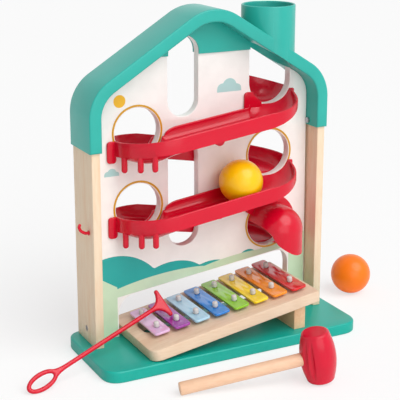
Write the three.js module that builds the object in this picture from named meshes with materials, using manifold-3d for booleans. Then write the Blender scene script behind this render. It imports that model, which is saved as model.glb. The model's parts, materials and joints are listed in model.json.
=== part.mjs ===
// Ball run toy: balls dropped in the chimney roll through a panel on four tracks and down a xylophone.
// Millimetres, X to the right along the panel, Y to the back, Z up; the base rests on Z = 0.
import * as THREE from "three";
import { mergeVertices } from "three/addons/utils/BufferGeometryUtils.js";
import Module from "manifold-3d";

// Fits
const GAP = 0.3;
const SCREW_FIT = 0.3;
const SCREW_SEAT = 0.1;

// Balls
const BALL_DIAMETER = 46;
const HOLE_PLAY = 2;
const TRACK_PLAY = 0.8;
const CHIMNEY_PLAY = 3;
const BOWL_PLAY = 2.5;
const YELLOW_INSET = 22;
const ORANGE_OUT = 71;
const ORANGE_Y = 18;

// Base board
const BASE_MARGIN = 12.5;
const BASE_FRONT = 85;
const BASE_BACK = 30;
const BASE_THICK = 12.5;
const BASE_CORNER = 20;
const BASE_EDGE = 1.2;

// Posts
const FRAME_WIDTH = 270;
const POST_THICK = 9;
const POST_DEPTH = 50;
const POST_EAVE_GAP = 7;

// Roof
const ROOF_WALL = 1.8;
const ROOF_FIT = 0.2;
const ROOF_APEX = 351.5;
const ROOF_HEIGHT = 134;
const ROOF_PITCH = 32;
const APEX_RADIUS = 50;
const EAVE_RADIUS = 44;
const GABLE_DROP = 47;
const GABLE_WALL = 2.2;
const ROOF_BOSS_RADIUS = 4.2;
const ROOF_BOSS_ANGLE = 20;
const CHIMNEY_WALL = 2.5;
const CHIMNEY_DROP = 1.5;

// Play panel
const PANEL_THICK = 10;
const HOLE_INSET = 58;
const TOP_HOLE_DROP = 82;
const EXIT_HOLE_HEIGHT = 99;
const SLOT_OFFSET = 51.5;
const SLOT_WIDTH = 35;
const UPPER_SLOT_DROP = 27;
const UPPER_SLOT_LENGTH = 84;
const LOWER_SLOT_DROP = 3;
const LOWER_SLOT_HEIGHT = 89;
const WINDOW_LEFT_INSET = 34;
const WINDOW_RIGHT_INSET = 31.5;
const WINDOW_HEIGHT = 43;
const WINDOW_SLOPE = 6.8;
const WINDOW_CORNER = 20;

// Tracks
const TRACK_WALL = 2.4;
const TRACK_HEIGHT = 16.7;
const TRACK_BACK_HEIGHT = 13.5;
const TRACK_LOW_HEIGHT = 6.6;
const TRACK_TAPER_INSET = 16;
const TRACK_TAPER_LENGTH = 14;
const TRACK_DISH = 2.4;
const ENTRY_DIP = 2.2;
const EXIT_DIP = 2.5;
const EXIT_BELLY = 8.5;
const TURN_CORE = 0.8;
const ENTRY_DROP = 15;
const REAR_ENTRY_DROP = 9.5;
const EXIT_DROP = 10;
const ENTRY_SILL = 1.6;
const EXIT_SILL = 0.4;
const TAB_WIDTH = 8;
const TAB_DROP = 6;
const TAB_CORNER = 4;
const ENTRY_TAB_WIDTH = 3;
const ENTRY_TAB_DROP = 9;
const ENTRY_TAB_CORNER = 2;
const CORNER_TAB_LEFT = 4.5;
const CORNER_LIP = 13;
const RIB_RADIUS = 3.1;
const RIB_REACH = 10;
const RIB_HEIGHT = 4;
const RIB_FIRST = 0.365;
const RIB_SECOND = 0.555;
const RIB_THIRD = 0.815;
const TRACK_BOSS_GAP = 17;
const TRACK_BOSS_RADIUS = 5.5;
const TRACK_BOSS_LENGTH = 17;

// Entry funnel and exit chute
const BOWL_WALL = 2.4;
const EAR_WIDTH = 9;
const EAR_HEIGHT = 16;
const BOWL_RIM_TILT = 16;
const BOWL_RIM_LIFT = 6;
const CHUTE_PLAY = 0.8;
const CHUTE_WALL = 1.8;
const CHUTE_BOSS_RADIUS = 4;
const CHUTE_BOSS_LENGTH = 12;

// Xylophone
const BOARD_LEFT_GAP = 4;
const BOARD_RIGHT_GAP = 3.5;
const BOARD_FRONT = 83;
const BOARD_BACK = 20;
const BOARD_THICK = 12;
const BOARD_LEFT_CORNER = 12;
const BOARD_RIGHT_CORNER = 3;
const BOARD_TILT = 9.1;
const SOUND_SLOT_WIDTH = 31;
const SOUND_SLOT_CORNER = 11;
const SOUND_SLOT_MARGIN = 13;
const BAR_COUNT = 8;
const BAR_FIRST_INSET = 24;
const BAR_LAST_INSET = 16.9;
const BAR_SPACE = 4.8;
const BAR_THICK = 2.5;
const BAR_SHORT_LENGTH = 66;
const BAR_LONG_LENGTH = 90;
const BAR_LINE_OFFSET = 27;
const BAR_LIFT = 3;
const BAR_CORNER = 3.5;
const BAR_PLAY = 0.8;
const BAR_PIN_SHARE = 0.222;
const PIN_SPACER_RADIUS = 3.6;
const PIN_NECK_RADIUS = 1.9;
const PIN_FIT = 0.4;
const PIN_CAP_RADIUS = 2.9;
const PIN_CAP_HEIGHT = 5.5;
const PIN_SHANK_RADIUS = 1.5;
const PIN_SHANK_LENGTH = 8;
const RISER_INSET = 21.7;
const RISER_WIDTH = 13.5;
const RISER_FRONT = 73;
const RISER_LENGTH = 70;

// Tool hook
const HOOK_Y = -14;
const HOOK_Z = 136;
const HOOK_FOOT_RADIUS = 3;
const HOOK_FOOT_THICK = 1.6;
const HOOK_RADIUS = 1.6;
const HOOK_REACH = 10;
const HOOK_RISE = 8;

// Mallet
const MALLET_X = 39.6;
const MALLET_Y = -167.6;
const MALLET_HEADING = 165.3;
const MALLET_HANDLE_RADIUS = 6.5;
const MALLET_REACH = 139.4;
const MALLET_HEAD_HALF = 26;
const MALLET_HEAD_RADIUS = 18;
const MALLET_FACE_RADIUS = 12.5;
const MALLET_EDGE = 1.5;
const MALLET_SOCKET = 6;

// Ball rake
const RAKE_OUT = 71;
const RAKE_Y = -62;
const RAKE_HEADING = 13.3;
const RAKE_ROLL = 51.6;
const RAKE_LENGTH = 155.3;
const RAKE_WIDTH = 26.7;
const RAKE_HOLE_LENGTH = 26;
const RAKE_HOLE_WIDTH = 9;
const RAKE_ROD_RADIUS = 2.3;
const RAKE_EDGE = 1.5;
const RAKE_NECK_LENGTH = 12;
const RAKE_NECK_RADIUS = 3.7;
const RAKE_HEAD_LENGTH = 15;
const RAKE_WEB_REACH = 5.5;
const RAKE_WEB_WIDTH = 3;

// Fasteners
const SCREW_RADIUS = 1.6;
const SCREW_HEAD_RADIUS = 3.2;
const SCREW_HEAD_HEIGHT = 1.8;
const POST_SCREW_Z = 27;
const POST_SCREW_LENGTH = 30;
const LEG_SCREW_Y = -9;
const LEG_SCREW_LIFT = 5.2;
const LEG_SCREW_LENGTH = 9;
const ROOF_SCREW_LENGTH = 40;
const BASE_SCREW_LENGTH = 36;
const BASE_SCREW_Y = 14;
const TRACK_SCREW_BITE = 8;
const CHUTE_SCREW_BITE = 7;

// Smoothness of round faces
const ARC_STEPS = 5;
const HOLE_STEPS = 30;
const BALL_STEPS = 24;
const PEG_STEPS = 8;
const TURN_STEPS = 7;
const STRAIGHT_STEPS = 4;
const WELD = 1e-4;
const BEYOND = 400;

// Sizes that follow from those above
const radians = THREE.MathUtils.degToRad;
const BALL_RADIUS = BALL_DIAMETER / 2;
const HOLE_RADIUS = BALL_RADIUS + HOLE_PLAY;
const PANEL_FACE = PANEL_THICK / 2;
const MOUNT_FACE = PANEL_FACE + GAP;
const POST_INNER = FRAME_WIDTH / 2 - POST_THICK;
const POST_MIDDLE = FRAME_WIDTH / 2 - POST_THICK / 2;
const BASE_HALF = FRAME_WIDTH / 2 + BASE_MARGIN;
const ROOF_FOOT = ROOF_APEX - ROOF_HEIGHT;
const ROOF_SKIN = ROOF_WALL + ROOF_FIT;
const ROOF_BAND = POST_THICK + 2 * ROOF_SKIN;
const ROOF_HALF = FRAME_WIDTH / 2 + ROOF_SKIN;
const ROOF_HALF_DEPTH = POST_DEPTH / 2 + ROOF_SKIN;
const PITCH = radians(ROOF_PITCH);
const APEX_Z = ROOF_APEX - APEX_RADIUS;
const EAVE_X = ROOF_HALF - EAVE_RADIUS;
const EAVE_Z = APEX_Z + (APEX_RADIUS - EAVE_RADIUS - EAVE_X * Math.sin(PITCH)) / Math.cos(PITCH);
const POST_TOP = EAVE_Z - POST_EAVE_GAP;
const GABLE_EDGE = ROOF_APEX - GABLE_DROP;
const CHIMNEY_TOP = ROOF_APEX - CHIMNEY_DROP;
const CHIMNEY_BORE = BALL_RADIUS + CHIMNEY_PLAY;
const CHIMNEY_RADIUS = CHIMNEY_BORE + CHIMNEY_WALL;
const TRACK_NAMES = ["upper_front_track", "upper_rear_track", "lower_front_track", "lower_rear_track"];
const HOLE_X = FRAME_WIDTH / 2 - HOLE_INSET;
const TOP_HOLE_Z = ROOF_APEX - TOP_HOLE_DROP;
const EXIT_HOLE_Z = BASE_THICK + EXIT_HOLE_HEIGHT;
const RUN_DROP = (TOP_HOLE_Z - EXIT_HOLE_Z) / TRACK_NAMES.length;
const SLOT_X = SLOT_OFFSET - HOLE_X;
const UPPER_SLOT_TOP = ROOF_APEX - UPPER_SLOT_DROP;
const UPPER_SLOT_FOOT = UPPER_SLOT_TOP - UPPER_SLOT_LENGTH;
const LOWER_SLOT_TOP = ROOF_FOOT - LOWER_SLOT_DROP;
const LOWER_SLOT_FOOT = BASE_THICK + LOWER_SLOT_HEIGHT;
const WINDOW_LEFT = WINDOW_LEFT_INSET - FRAME_WIDTH / 2;
const WINDOW_RIGHT = FRAME_WIDTH / 2 - WINDOW_RIGHT_INSET;
const TRACK_HALF = BALL_RADIUS + TRACK_PLAY;
const TRACK_OUTER = TRACK_HALF + TRACK_WALL;
const TURN_RADIUS = TRACK_OUTER + TURN_CORE;
const TURN_LENGTH = TURN_RADIUS * Math.PI / 2;
const TURN_X = HOLE_X - TURN_RADIUS;
const STRAIGHT_LENGTH = 2 * TURN_X;
const TRACK_TAPER_START = TRACK_TAPER_INSET - TURN_X;
const TRACK_BOSS_X = SLOT_X + SLOT_WIDTH / 2 + TRACK_BOSS_GAP;
const YELLOW_X = TURN_X - YELLOW_INSET;
const ORANGE_X = FRAME_WIDTH / 2 + ORANGE_OUT;
const RAKE_X = -FRAME_WIDTH / 2 - RAKE_OUT;
const BOWL_RADIUS = BALL_RADIUS + BOWL_PLAY;
const BOWL_OUTER = BOWL_RADIUS + BOWL_WALL;
const CHUTE_RADIUS = BALL_RADIUS + CHUTE_PLAY;
const CHUTE_OUTER = CHUTE_RADIUS + CHUTE_WALL;
const TILT = radians(BOARD_TILT);
const BOARD_FOOT = BASE_THICK + GAP;
const BOARD_LEFT = WINDOW_LEFT + BOARD_LEFT_GAP;
const BOARD_LENGTH = WINDOW_RIGHT - BOARD_RIGHT_GAP - BOARD_LEFT;
const BAR_PITCH = (BOARD_LENGTH - BAR_FIRST_INSET - BAR_LAST_INSET) / (BAR_COUNT - 1);
const BAR_WIDTH = BAR_PITCH - BAR_SPACE;
const RISER_X = BOARD_LEFT + BOARD_LENGTH - RISER_INSET;
const BAR_UNDER = BOARD_THICK + GAP + BAR_LIFT;

const wasm = await Module();
wasm.setup();
const UP = new THREE.Vector3(0, 0, 1);
const DOWN = new THREE.Vector3(0, 0, -1);
const toy = new THREE.Group();
toy.name = "ball_run_toy";

// Closed solids from three's shapes
function solid(geometry) {
  geometry.deleteAttribute("normal");
  geometry.deleteAttribute("uv");
  const welded = mergeVertices(geometry, WELD);
  const index = welded.index.array;
  const triangles = [];
  for (let i = 0; i < index.length; i += 3) {
    const [a, b, c] = index.slice(i, i + 3);
    if (a !== b && b !== c && c !== a) {
      triangles.push(a, b, c);
    }
  }
  const vertices = new Float32Array(welded.attributes.position.array);
  return new wasm.Manifold(
    new wasm.Mesh({ numProp: 3, vertProperties: vertices, triVerts: new Uint32Array(triangles) }),
  );
}

// A block between two corners
function block(x0, x1, y0, y1, z0, z1) {
  const box = new THREE.BoxGeometry(x1 - x0, y1 - y0, z1 - z0);
  return solid(box.translate((x0 + x1) / 2, (y0 + y1) / 2, (z0 + z1) / 2));
}

// An outline in X and Z made solid between two depths
function slab(outline, front, back) {
  const options = { depth: back - front, bevelEnabled: false, curveSegments: ARC_STEPS };
  const geometry = new THREE.ExtrudeGeometry(outline, options);
  return solid(geometry.rotateX(Math.PI / 2).translate(0, back, 0));
}

// An outline in X and Y made solid between two heights with its edges eased
function easedPlate(outline, bottom, top, edge, steps) {
  const bevel = { bevelThickness: edge, bevelSize: edge, bevelOffset: -edge, bevelSegments: 2 };
  const options = { depth: top - bottom - 2 * edge, curveSegments: steps, ...bevel };
  return solid(new THREE.ExtrudeGeometry(outline, options).translate(0, 0, bottom + edge));
}

// An outline in X and Y made solid between two heights
function plate(outline, bottom, top) {
  const options = { depth: top - bottom, bevelEnabled: false, curveSegments: ARC_STEPS };
  return solid(new THREE.ExtrudeGeometry(outline, options).translate(0, 0, bottom));
}

// A round bar between two points
function rod(radius, from, to, steps) {
  const along = to.clone().sub(from);
  const geometry = new THREE.CylinderGeometry(radius, radius, along.length(), steps);
  const turn = new THREE.Quaternion().setFromUnitVectors(new THREE.Vector3(0, 1, 0), along.normalize());
  const middle = from.clone().add(to).multiplyScalar(0.5);
  return solid(geometry.applyQuaternion(turn).translate(middle.x, middle.y, middle.z));
}

// A round bar from front to back at one place of the panel
function bore(radius, x, z, front, back, steps) {
  return rod(radius, new THREE.Vector3(x, front, z), new THREE.Vector3(x, back, z), steps);
}

// A profile of radius and height turned about the Z axis
function turned(profile, steps) {
  const points = profile.map(([radius, height]) => new THREE.Vector2(radius, height));
  return new THREE.LatheGeometry(points, steps).rotateX(Math.PI / 2);
}

// A ball-shaped solid
function sphere(radius, x, y, z) {
  return solid(new THREE.SphereGeometry(radius, BALL_STEPS, BALL_STEPS / 2).translate(x, y, z));
}

// A closed outline whose corners, each x, y and radius, are rounded
function rounded(corners) {
  const shape = new THREE.Shape();
  corners.forEach(([x, y, radius], i) => {
    const corner = new THREE.Vector2(x, y);
    const before = new THREE.Vector2(...corners[(i + corners.length - 1) % corners.length]);
    const after = new THREE.Vector2(...corners[(i + 1) % corners.length]);
    const start = before.sub(corner).setLength(radius).add(corner);
    const end = after.sub(corner).setLength(radius).add(corner);
    if (i === 0) {
      shape.moveTo(start.x, start.y);
    } else {
      shape.lineTo(start.x, start.y);
    }
    if (radius > 0) {
      shape.quadraticCurveTo(x, y, end.x, end.y);
    }
  });
  shape.closePath();
  return shape;
}

// An upright slot with round ends
function slotOutline(x, width, foot, top) {
  const radius = width / 2;
  const shape = new THREE.Shape();
  shape.absarc(x, top - radius, radius, 0, Math.PI, false);
  shape.absarc(x, foot + radius, radius, Math.PI, 2 * Math.PI, false);
  shape.closePath();
  return shape;
}

// The gable outline drawn in from the roof's outer face and closed across at its foot
function roofOutline(inset, foot) {
  const side = ROOF_HALF - inset;
  const eave = EAVE_RADIUS - inset;
  const lean = Math.PI / 2 - PITCH;
  const shape = new THREE.Shape();
  shape.moveTo(side, foot);
  shape.lineTo(side, EAVE_Z);
  shape.absarc(EAVE_X, EAVE_Z, eave, 0, lean, false);
  shape.absarc(0, APEX_Z, APEX_RADIUS - inset, lean, Math.PI - lean, false);
  shape.absarc(-EAVE_X, EAVE_Z, eave, Math.PI - lean, Math.PI, false);
  shape.lineTo(-side, foot);
  shape.closePath();
  return shape;
}

// A section carried along stations, each with a place, an outward direction and its points
function sweep(stations) {
  const count = stations[0].points.length;
  const positions = [];
  const index = [];
  for (const { place, outward, points } of stations) {
    for (const point of points) {
      const at = place.clone().addScaledVector(outward, point.x).addScaledVector(UP, point.y);
      positions.push(at.x, at.y, at.z);
    }
  }
  for (let i = 0; i + 1 < stations.length; i += 1) {
    for (let j = 0; j < count; j += 1) {
      const a = i * count + j;
      const b = i * count + (j + 1) % count;
      index.push(a, b, b + count, a, b + count, a + count);
    }
  }
  const last = (stations.length - 1) * count;
  for (const [a, b, c] of THREE.ShapeUtils.triangulateShape(stations[0].points, [])) {
    index.push(c, b, a);
  }
  for (const [a, b, c] of THREE.ShapeUtils.triangulateShape(stations.at(-1).points, [])) {
    index.push(last + a, last + b, last + c);
  }
  const geometry = new THREE.BufferGeometry();
  geometry.setAttribute("position", new THREE.Float32BufferAttribute(positions, 3));
  geometry.setIndex(index);
  return solid(geometry);
}

// Colours and surfaces
const LOOKS = {
  teal: { color: 0x6fc6b6, roughness: 0.35, metalness: 0 },
  base: { color: 0x22b39f, roughness: 0.5, metalness: 0 },
  red: { color: 0xe5203a, roughness: 0.25, metalness: 0 },
  wood: { color: 0xf0ddbf, roughness: 0.6, metalness: 0 },
  white: { color: 0xf6f4ef, roughness: 0.4, metalness: 0 },
  steel: { color: 0x8d8d8d, roughness: 0.35, metalness: 1 },
  pin: { color: 0xe9e6dd, roughness: 0.45, metalness: 0 },
  yellow: { color: 0xffc81e, roughness: 0.4, metalness: 0 },
  orange: { color: 0xf57d1e, roughness: 0.4, metalness: 0 },
};
const BAR_COLOURS = [0xdebee1, 0xa54ba5, 0xb9dceb, 0x3c8cd7, 0x8cc33c, 0xfad714, 0xf5961e, 0xd71e28];

function add(parent, name, shape, look) {
  const mesh = new THREE.Mesh(geometryOf(shape), new THREE.MeshStandardMaterial(look));
  mesh.name = name;
  parent.add(mesh);
  return mesh;
}

function geometryOf(shape) {
  const { vertProperties, triVerts } = shape.getMesh();
  const geometry = new THREE.BufferGeometry();
  geometry.setAttribute("position", new THREE.BufferAttribute(vertProperties, 3));
  geometry.setIndex(new THREE.BufferAttribute(triVerts, 1));
  geometry.computeVertexNormals();
  return geometry;
}

// Screws: the outer face of the head is at the place, and the shank runs along the direction
function screw(x, y, z, along, length) {
  return { at: new THREE.Vector3(x, y, z), along, length };
}

function screwShape({ at, along, length }, play) {
  const shank = SCREW_RADIUS + play;
  const head = SCREW_HEAD_RADIUS + play;
  const under = -SCREW_HEAD_HEIGHT - play;
  const tip = -length - play;
  const profile = [[0, tip], [shank, tip], [shank, under], [head, under], [head, play], [0, play]];
  const turn = new THREE.Quaternion().setFromUnitVectors(DOWN, along);
  return solid(turned(profile, PEG_STEPS).applyQuaternion(turn).translate(at.x, at.y, at.z));
}

function cutScrews(shape, screws) {
  return screws.reduce((left, one) => left.subtract(screwShape(one, SCREW_FIT)), shape);
}

// Track path: heights of its floor, measured from the hole it starts at
const EAST = new THREE.Vector3(1, 0, 0);
const WEST = new THREE.Vector3(-1, 0, 0);
const SOUTH = new THREE.Vector3(0, -1, 0);
const ENTRY_FLOOR = -BALL_RADIUS - ENTRY_SILL;
const EXIT_FLOOR = -BALL_RADIUS - EXIT_SILL - RUN_DROP;
const FRONT_RUN = runOf(ENTRY_DROP);
const REAR_RUN = runOf(REAR_ENTRY_DROP);

// The fall of a track: what is left after its two turns is spread along the straight
function runOf(entryDrop) {
  const slope = (ENTRY_FLOOR - EXIT_FLOOR - entryDrop - EXIT_DROP) / STRAIGHT_LENGTH;
  return { entryDrop, slope };
}

function straightFloor(run, x) {
  return ENTRY_FLOOR - run.entryDrop - run.slope * (TURN_X - x);
}

function turnDrop(run, share, drop) {
  const even = run.slope * TURN_LENGTH;
  return even * share + (drop - even) * share * share;
}

// U-shaped section with a dished floor, its panel-side wall of the given height
// The scoop rounds the outer side up to the rim, the dip lowers the rim and the belly the underside
function trackSection(backHeight, scoop, dip, belly) {
  const inner = TRACK_HALF;
  const outer = TRACK_OUTER;
  const lift = scoop * TRACK_HEIGHT;
  const rim = TRACK_HEIGHT - dip;
  const floorShares = [[0.45, 0.2, 0.1], [0.86, 0.9, 0.42], [1, 2.3, 0.48]];
  const underShares = [[0.7, -0.4, 0.34, 0.6], [1, 0.4, 0.7, 0.1]];
  const floor = (up) => floorShares.map(([across, dish, raise]) =>
    [across * inner, dish * TRACK_DISH + raise * up]);
  const under = (up) => underShares.map(([across, wall, raise, hang]) =>
    [across * outer, wall * TRACK_WALL + raise * up - hang * belly]);
  const mirror = (points) => points.map(([across, up]) => [-across, up]);
  const points = [
    ...mirror(under(0)).reverse(),
    [0, -TRACK_WALL - belly],
    ...under(lift),
    [outer, rim],
    [inner, rim],
    ...floor(lift).reverse(),
    [0, 0],
    ...mirror(floor(0)),
    [-inner, backHeight],
    [-outer, backHeight],
  ];
  return points.map(([across, up]) => new THREE.Vector2(across, up));
}

// Height of the panel-side wall along the straight: it falls in a round shoulder before the exit
function backHeight(x) {
  const share = THREE.MathUtils.clamp((TRACK_TAPER_START - x) / TRACK_TAPER_LENGTH, 0, 1);
  return TRACK_LOW_HEIGHT + (TRACK_BACK_HEIGHT - TRACK_LOW_HEIGHT) * Math.sqrt(1 - share * share);
}

function trackStations(run) {
  const stations = [];
  for (let i = 0; i <= TURN_STEPS; i += 1) {
    const share = i / TURN_STEPS;
    const angle = share * Math.PI / 2;
    const scoop = 1 - share;
    const outward = new THREE.Vector3(Math.cos(angle), -Math.sin(angle), 0);
    const place = new THREE.Vector3(TURN_X, -MOUNT_FACE, 0).addScaledVector(outward, TURN_RADIUS);
    place.z = straightFloor(run, TURN_X) + turnDrop(run, scoop, run.entryDrop);
    stations.push({ place, outward, points: trackSection(TRACK_BACK_HEIGHT, scoop, ENTRY_DIP * scoop, 0) });
  }
  const straight = [TRACK_TAPER_START];
  for (let i = 1; i <= STRAIGHT_STEPS; i += 1) {
    straight.push(TRACK_TAPER_START - TRACK_TAPER_LENGTH * i / STRAIGHT_STEPS);
  }
  for (const x of straight) {
    const place = new THREE.Vector3(x, -MOUNT_FACE - TURN_RADIUS, straightFloor(run, x));
    stations.push({ place, outward: SOUTH, points: trackSection(backHeight(x), 0, 0, 0) });
  }
  for (let i = 0; i <= TURN_STEPS; i += 1) {
    const share = i / TURN_STEPS;
    const angle = share * Math.PI / 2;
    const bulge = Math.sin(share * Math.PI);
    const outward = new THREE.Vector3(-Math.sin(angle), -Math.cos(angle), 0);
    const place = new THREE.Vector3(-TURN_X, -MOUNT_FACE, 0).addScaledVector(outward, TURN_RADIUS);
    place.z = straightFloor(run, -TURN_X) - turnDrop(run, share, EXIT_DROP);
    const points = trackSection(TRACK_LOW_HEIGHT, 0, EXIT_DIP * bulge, EXIT_BELLY * bulge);
    stations.push({ place, outward, points });
  }
  return stations;
}

// One track with its entry at the origin's height, tabs against the panel, finger ribs and screw boss
function trackShape(run, bossX) {
  const tabBack = -MOUNT_FACE;
  const tabFront = -MOUNT_FACE - TRACK_WALL;
  const tab = (x0, x1, z0, z1, corner) => {
    const corners = [[x0, z0, corner], [x1, z0, corner], [x1, z1, corner], [x0, z1, corner]];
    return slab(rounded(corners), tabFront, tabBack);
  };
  const tabStart = HOLE_X + TRACK_HALF - TAB_CORNER;
  const entryEnd = HOLE_X + TRACK_OUTER + ENTRY_TAB_WIDTH;
  const exitEnd = HOLE_X + TRACK_OUTER + TAB_WIDTH;
  const entryTop = ENTRY_FLOOR + TRACK_HEIGHT - ENTRY_DIP;
  const exitTop = EXIT_FLOOR + TRACK_HEIGHT;
  const cornerStart = TURN_X - CORNER_TAB_LEFT;
  const cornerEnd = HOLE_X - TRACK_HALF + TAB_CORNER;
  const lipEnd = TURN_X + TURN_CORE + TRACK_WALL + CORNER_LIP;
  const lipFoot = ENTRY_FLOOR - TRACK_WALL;
  const ends = [
    tab(tabStart, entryEnd, entryTop - ENTRY_TAB_DROP, entryTop, ENTRY_TAB_CORNER),
    tab(-exitEnd, -tabStart, EXIT_FLOOR - TAB_DROP, exitTop, TAB_CORNER),
    tab(cornerStart, cornerEnd, straightFloor(run, TURN_X), entryTop, TAB_CORNER),
    block(cornerStart + TAB_CORNER, lipEnd, tabFront, tabBack, lipFoot, lipFoot + CORNER_LIP),
  ];
  const entryWay = bore(TRACK_HALF, HOLE_X, 0, -BEYOND, BEYOND, HOLE_STEPS);
  const exitWay = bore(TRACK_HALF, -HOLE_X, -RUN_DROP, -BEYOND, BEYOND, HOLE_STEPS);
  let shape = sweep(trackStations(run));
  for (const end of ends) {
    shape = shape.add(end.subtract(entryWay).subtract(exitWay));
  }
  for (const share of [RIB_FIRST, RIB_SECOND, RIB_THIRD]) {
    const angle = share * Math.PI / 2;
    const reach = TURN_RADIUS + TRACK_OUTER - RIB_RADIUS;
    const x = -TURN_X - reach * Math.sin(angle);
    const y = -MOUNT_FACE - reach * Math.cos(angle);
    const floor = straightFloor(run, -TURN_X) - turnDrop(run, share, EXIT_DROP);
    const rib = new THREE.CapsuleGeometry(RIB_RADIUS, RIB_REACH + RIB_HEIGHT, 2, 8).rotateX(Math.PI / 2);
    shape = shape.add(solid(rib.translate(x, y, floor + (RIB_HEIGHT - RIB_REACH) / 2 - RIB_RADIUS)));
  }
  const bossZ = trackBossZ(run, bossX);
  const boss = bore(TRACK_BOSS_RADIUS, bossX, bossZ, tabBack - TRACK_BOSS_LENGTH, tabBack, PEG_STEPS);
  const hole = bore(SCREW_RADIUS + SCREW_FIT, bossX, bossZ, -BEYOND, BEYOND, PEG_STEPS);
  shape = shape.add(boss).subtract(hole);
  return shape.subtract(block(-BEYOND, BEYOND, tabBack, BEYOND, -BEYOND, BEYOND));
}

function trackBossZ(run, bossX) {
  return straightFloor(run, bossX) - TRACK_BOSS_RADIUS + TRACK_WALL * 0.1;
}

// Screws of the frame
const roofMiddle = ROOF_BAND / 2;
const eaveReach = EAVE_RADIUS - roofMiddle;
const eaveBossX = EAVE_X + eaveReach * Math.cos(radians(ROOF_BOSS_ANGLE));
const eaveBossZ = EAVE_Z + eaveReach * Math.sin(radians(ROOF_BOSS_ANGLE));
const roofBosses = [[-eaveBossX, eaveBossZ], [0, APEX_Z + APEX_RADIUS - roofMiddle], [eaveBossX, eaveBossZ]];
const roofScrews = roofBosses.map(([x, z]) => screw(x, ROOF_HALF_DEPTH, z, SOUTH, ROOF_SCREW_LENGTH));
const legX = ROOF_HALF - ROOF_BAND - SCREW_HEAD_HEIGHT - SCREW_SEAT;
const legScrews = [-1, 1].map((side) =>
  screw(side * legX, LEG_SCREW_Y, ROOF_FOOT + LEG_SCREW_LIFT, side < 0 ? WEST : EAST, LEG_SCREW_LENGTH));
const postScrews = [-1, 1].map((side) =>
  screw(side * FRAME_WIDTH / 2, 0, POST_SCREW_Z, side < 0 ? EAST : WEST, POST_SCREW_LENGTH));
const baseScrews = [-1, 1].map((side) => screw(side * POST_MIDDLE, BASE_SCREW_Y, 0, UP, BASE_SCREW_LENGTH));

// Screws of the red pieces: the front ones come through the panel, the rear ones through the piece
const headRise = SCREW_HEAD_HEIGHT + SCREW_SEAT;
const panelThrough = headRise + PANEL_FACE + MOUNT_FACE;
const tracks = TRACK_NAMES.map((name, i) => {
  const startZ = TOP_HOLE_Z - i * RUN_DROP;
  const rear = i % 2 === 1;
  const run = rear ? REAR_RUN : FRONT_RUN;
  const bossX = rear ? -TRACK_BOSS_X : TRACK_BOSS_X;
  const z = startZ + trackBossZ(run, bossX);
  const rearY = MOUNT_FACE + TRACK_BOSS_LENGTH + headRise;
  const rearLength = headRise + TRACK_BOSS_LENGTH + GAP + TRACK_SCREW_BITE;
  const fastener = rear
    ? screw(-bossX, rearY, z, SOUTH, rearLength)
    : screw(bossX, PANEL_FACE + headRise, z, SOUTH, panelThrough + TRACK_SCREW_BITE);
  return { name, startZ, rear, run, bossX, fastener };
});
const funnelScrew = screw(
  HOLE_X - BOWL_OUTER - EAR_WIDTH / 2,
  MOUNT_FACE + BOWL_WALL + headRise,
  TOP_HOLE_Z - EAR_HEIGHT / 2,
  SOUTH,
  headRise + BOWL_WALL + GAP + TRACK_SCREW_BITE,
);
const chuteBossZ = EXIT_HOLE_Z + CHUTE_OUTER + CHUTE_BOSS_RADIUS * 0.75;
const chuteScrew = screw(HOLE_X, PANEL_FACE + headRise, chuteBossZ, SOUTH, panelThrough + CHUTE_SCREW_BITE);
const panelScrews = [...postScrews, ...tracks.map((track) => track.fastener), funnelScrew, chuteScrew];

// Base board
function baseShape() {
  const half = BASE_HALF;
  const corners = [
    [-half, -BASE_FRONT, BASE_CORNER],
    [half, -BASE_FRONT, BASE_CORNER],
    [half, BASE_BACK, BASE_CORNER],
    [-half, BASE_BACK, BASE_CORNER],
  ];
  return cutScrews(easedPlate(rounded(corners), 0, BASE_THICK, BASE_EDGE, ARC_STEPS), baseScrews);
}

function postShape(side) {
  const x = side * POST_MIDDLE;
  const half = POST_THICK / 2;
  const deep = POST_DEPTH / 2;
  const post = block(x - half, x + half, -deep, deep, BASE_THICK, POST_TOP);
  return cutScrews(post, [...legScrews, ...postScrews, ...baseScrews]);
}

// Play panel: fills the frame below the roof and carries holes, slots and the low window
function panelShape() {
  const side = POST_INNER - GAP;
  const through = (outline) => slab(outline, -BEYOND, BEYOND);
  let panel = slab(roofOutline(ROOF_BAND + GAP, BASE_THICK), -PANEL_FACE, PANEL_FACE);
  panel = panel.add(block(-side, side, -PANEL_FACE, PANEL_FACE, BASE_THICK, ROOF_FOOT - GAP));
  const notch = slotOutline(HOLE_X, 2 * HOLE_RADIUS, TOP_HOLE_Z - HOLE_RADIUS, 2 * ROOF_APEX);
  panel = panel.subtract(through(notch));
  for (let i = 1; i <= tracks.length; i += 1) {
    const x = i % 2 === 1 ? -HOLE_X : HOLE_X;
    panel = panel.subtract(bore(HOLE_RADIUS, x, TOP_HOLE_Z - i * RUN_DROP, -BEYOND, BEYOND, HOLE_STEPS));
  }
  panel = panel.subtract(through(slotOutline(SLOT_X, SLOT_WIDTH, LOWER_SLOT_FOOT, LOWER_SLOT_TOP)));
  panel = panel.subtract(through(upperSlot()));
  const sill = BASE_THICK - WINDOW_CORNER;
  const rise = (WINDOW_RIGHT - WINDOW_LEFT) * Math.tan(radians(WINDOW_SLOPE));
  const head = BASE_THICK + WINDOW_HEIGHT;
  const corners = [
    [WINDOW_LEFT, sill, 0],
    [WINDOW_RIGHT, sill, 0],
    [WINDOW_RIGHT, head + rise, WINDOW_CORNER],
    [WINDOW_LEFT, head, WINDOW_CORNER],
  ];
  return cutScrews(panel.subtract(through(rounded(corners))), panelScrews);
}

function upperSlot() {
  return slotOutline(SLOT_X, SLOT_WIDTH, UPPER_SLOT_FOOT, UPPER_SLOT_TOP);
}

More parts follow.
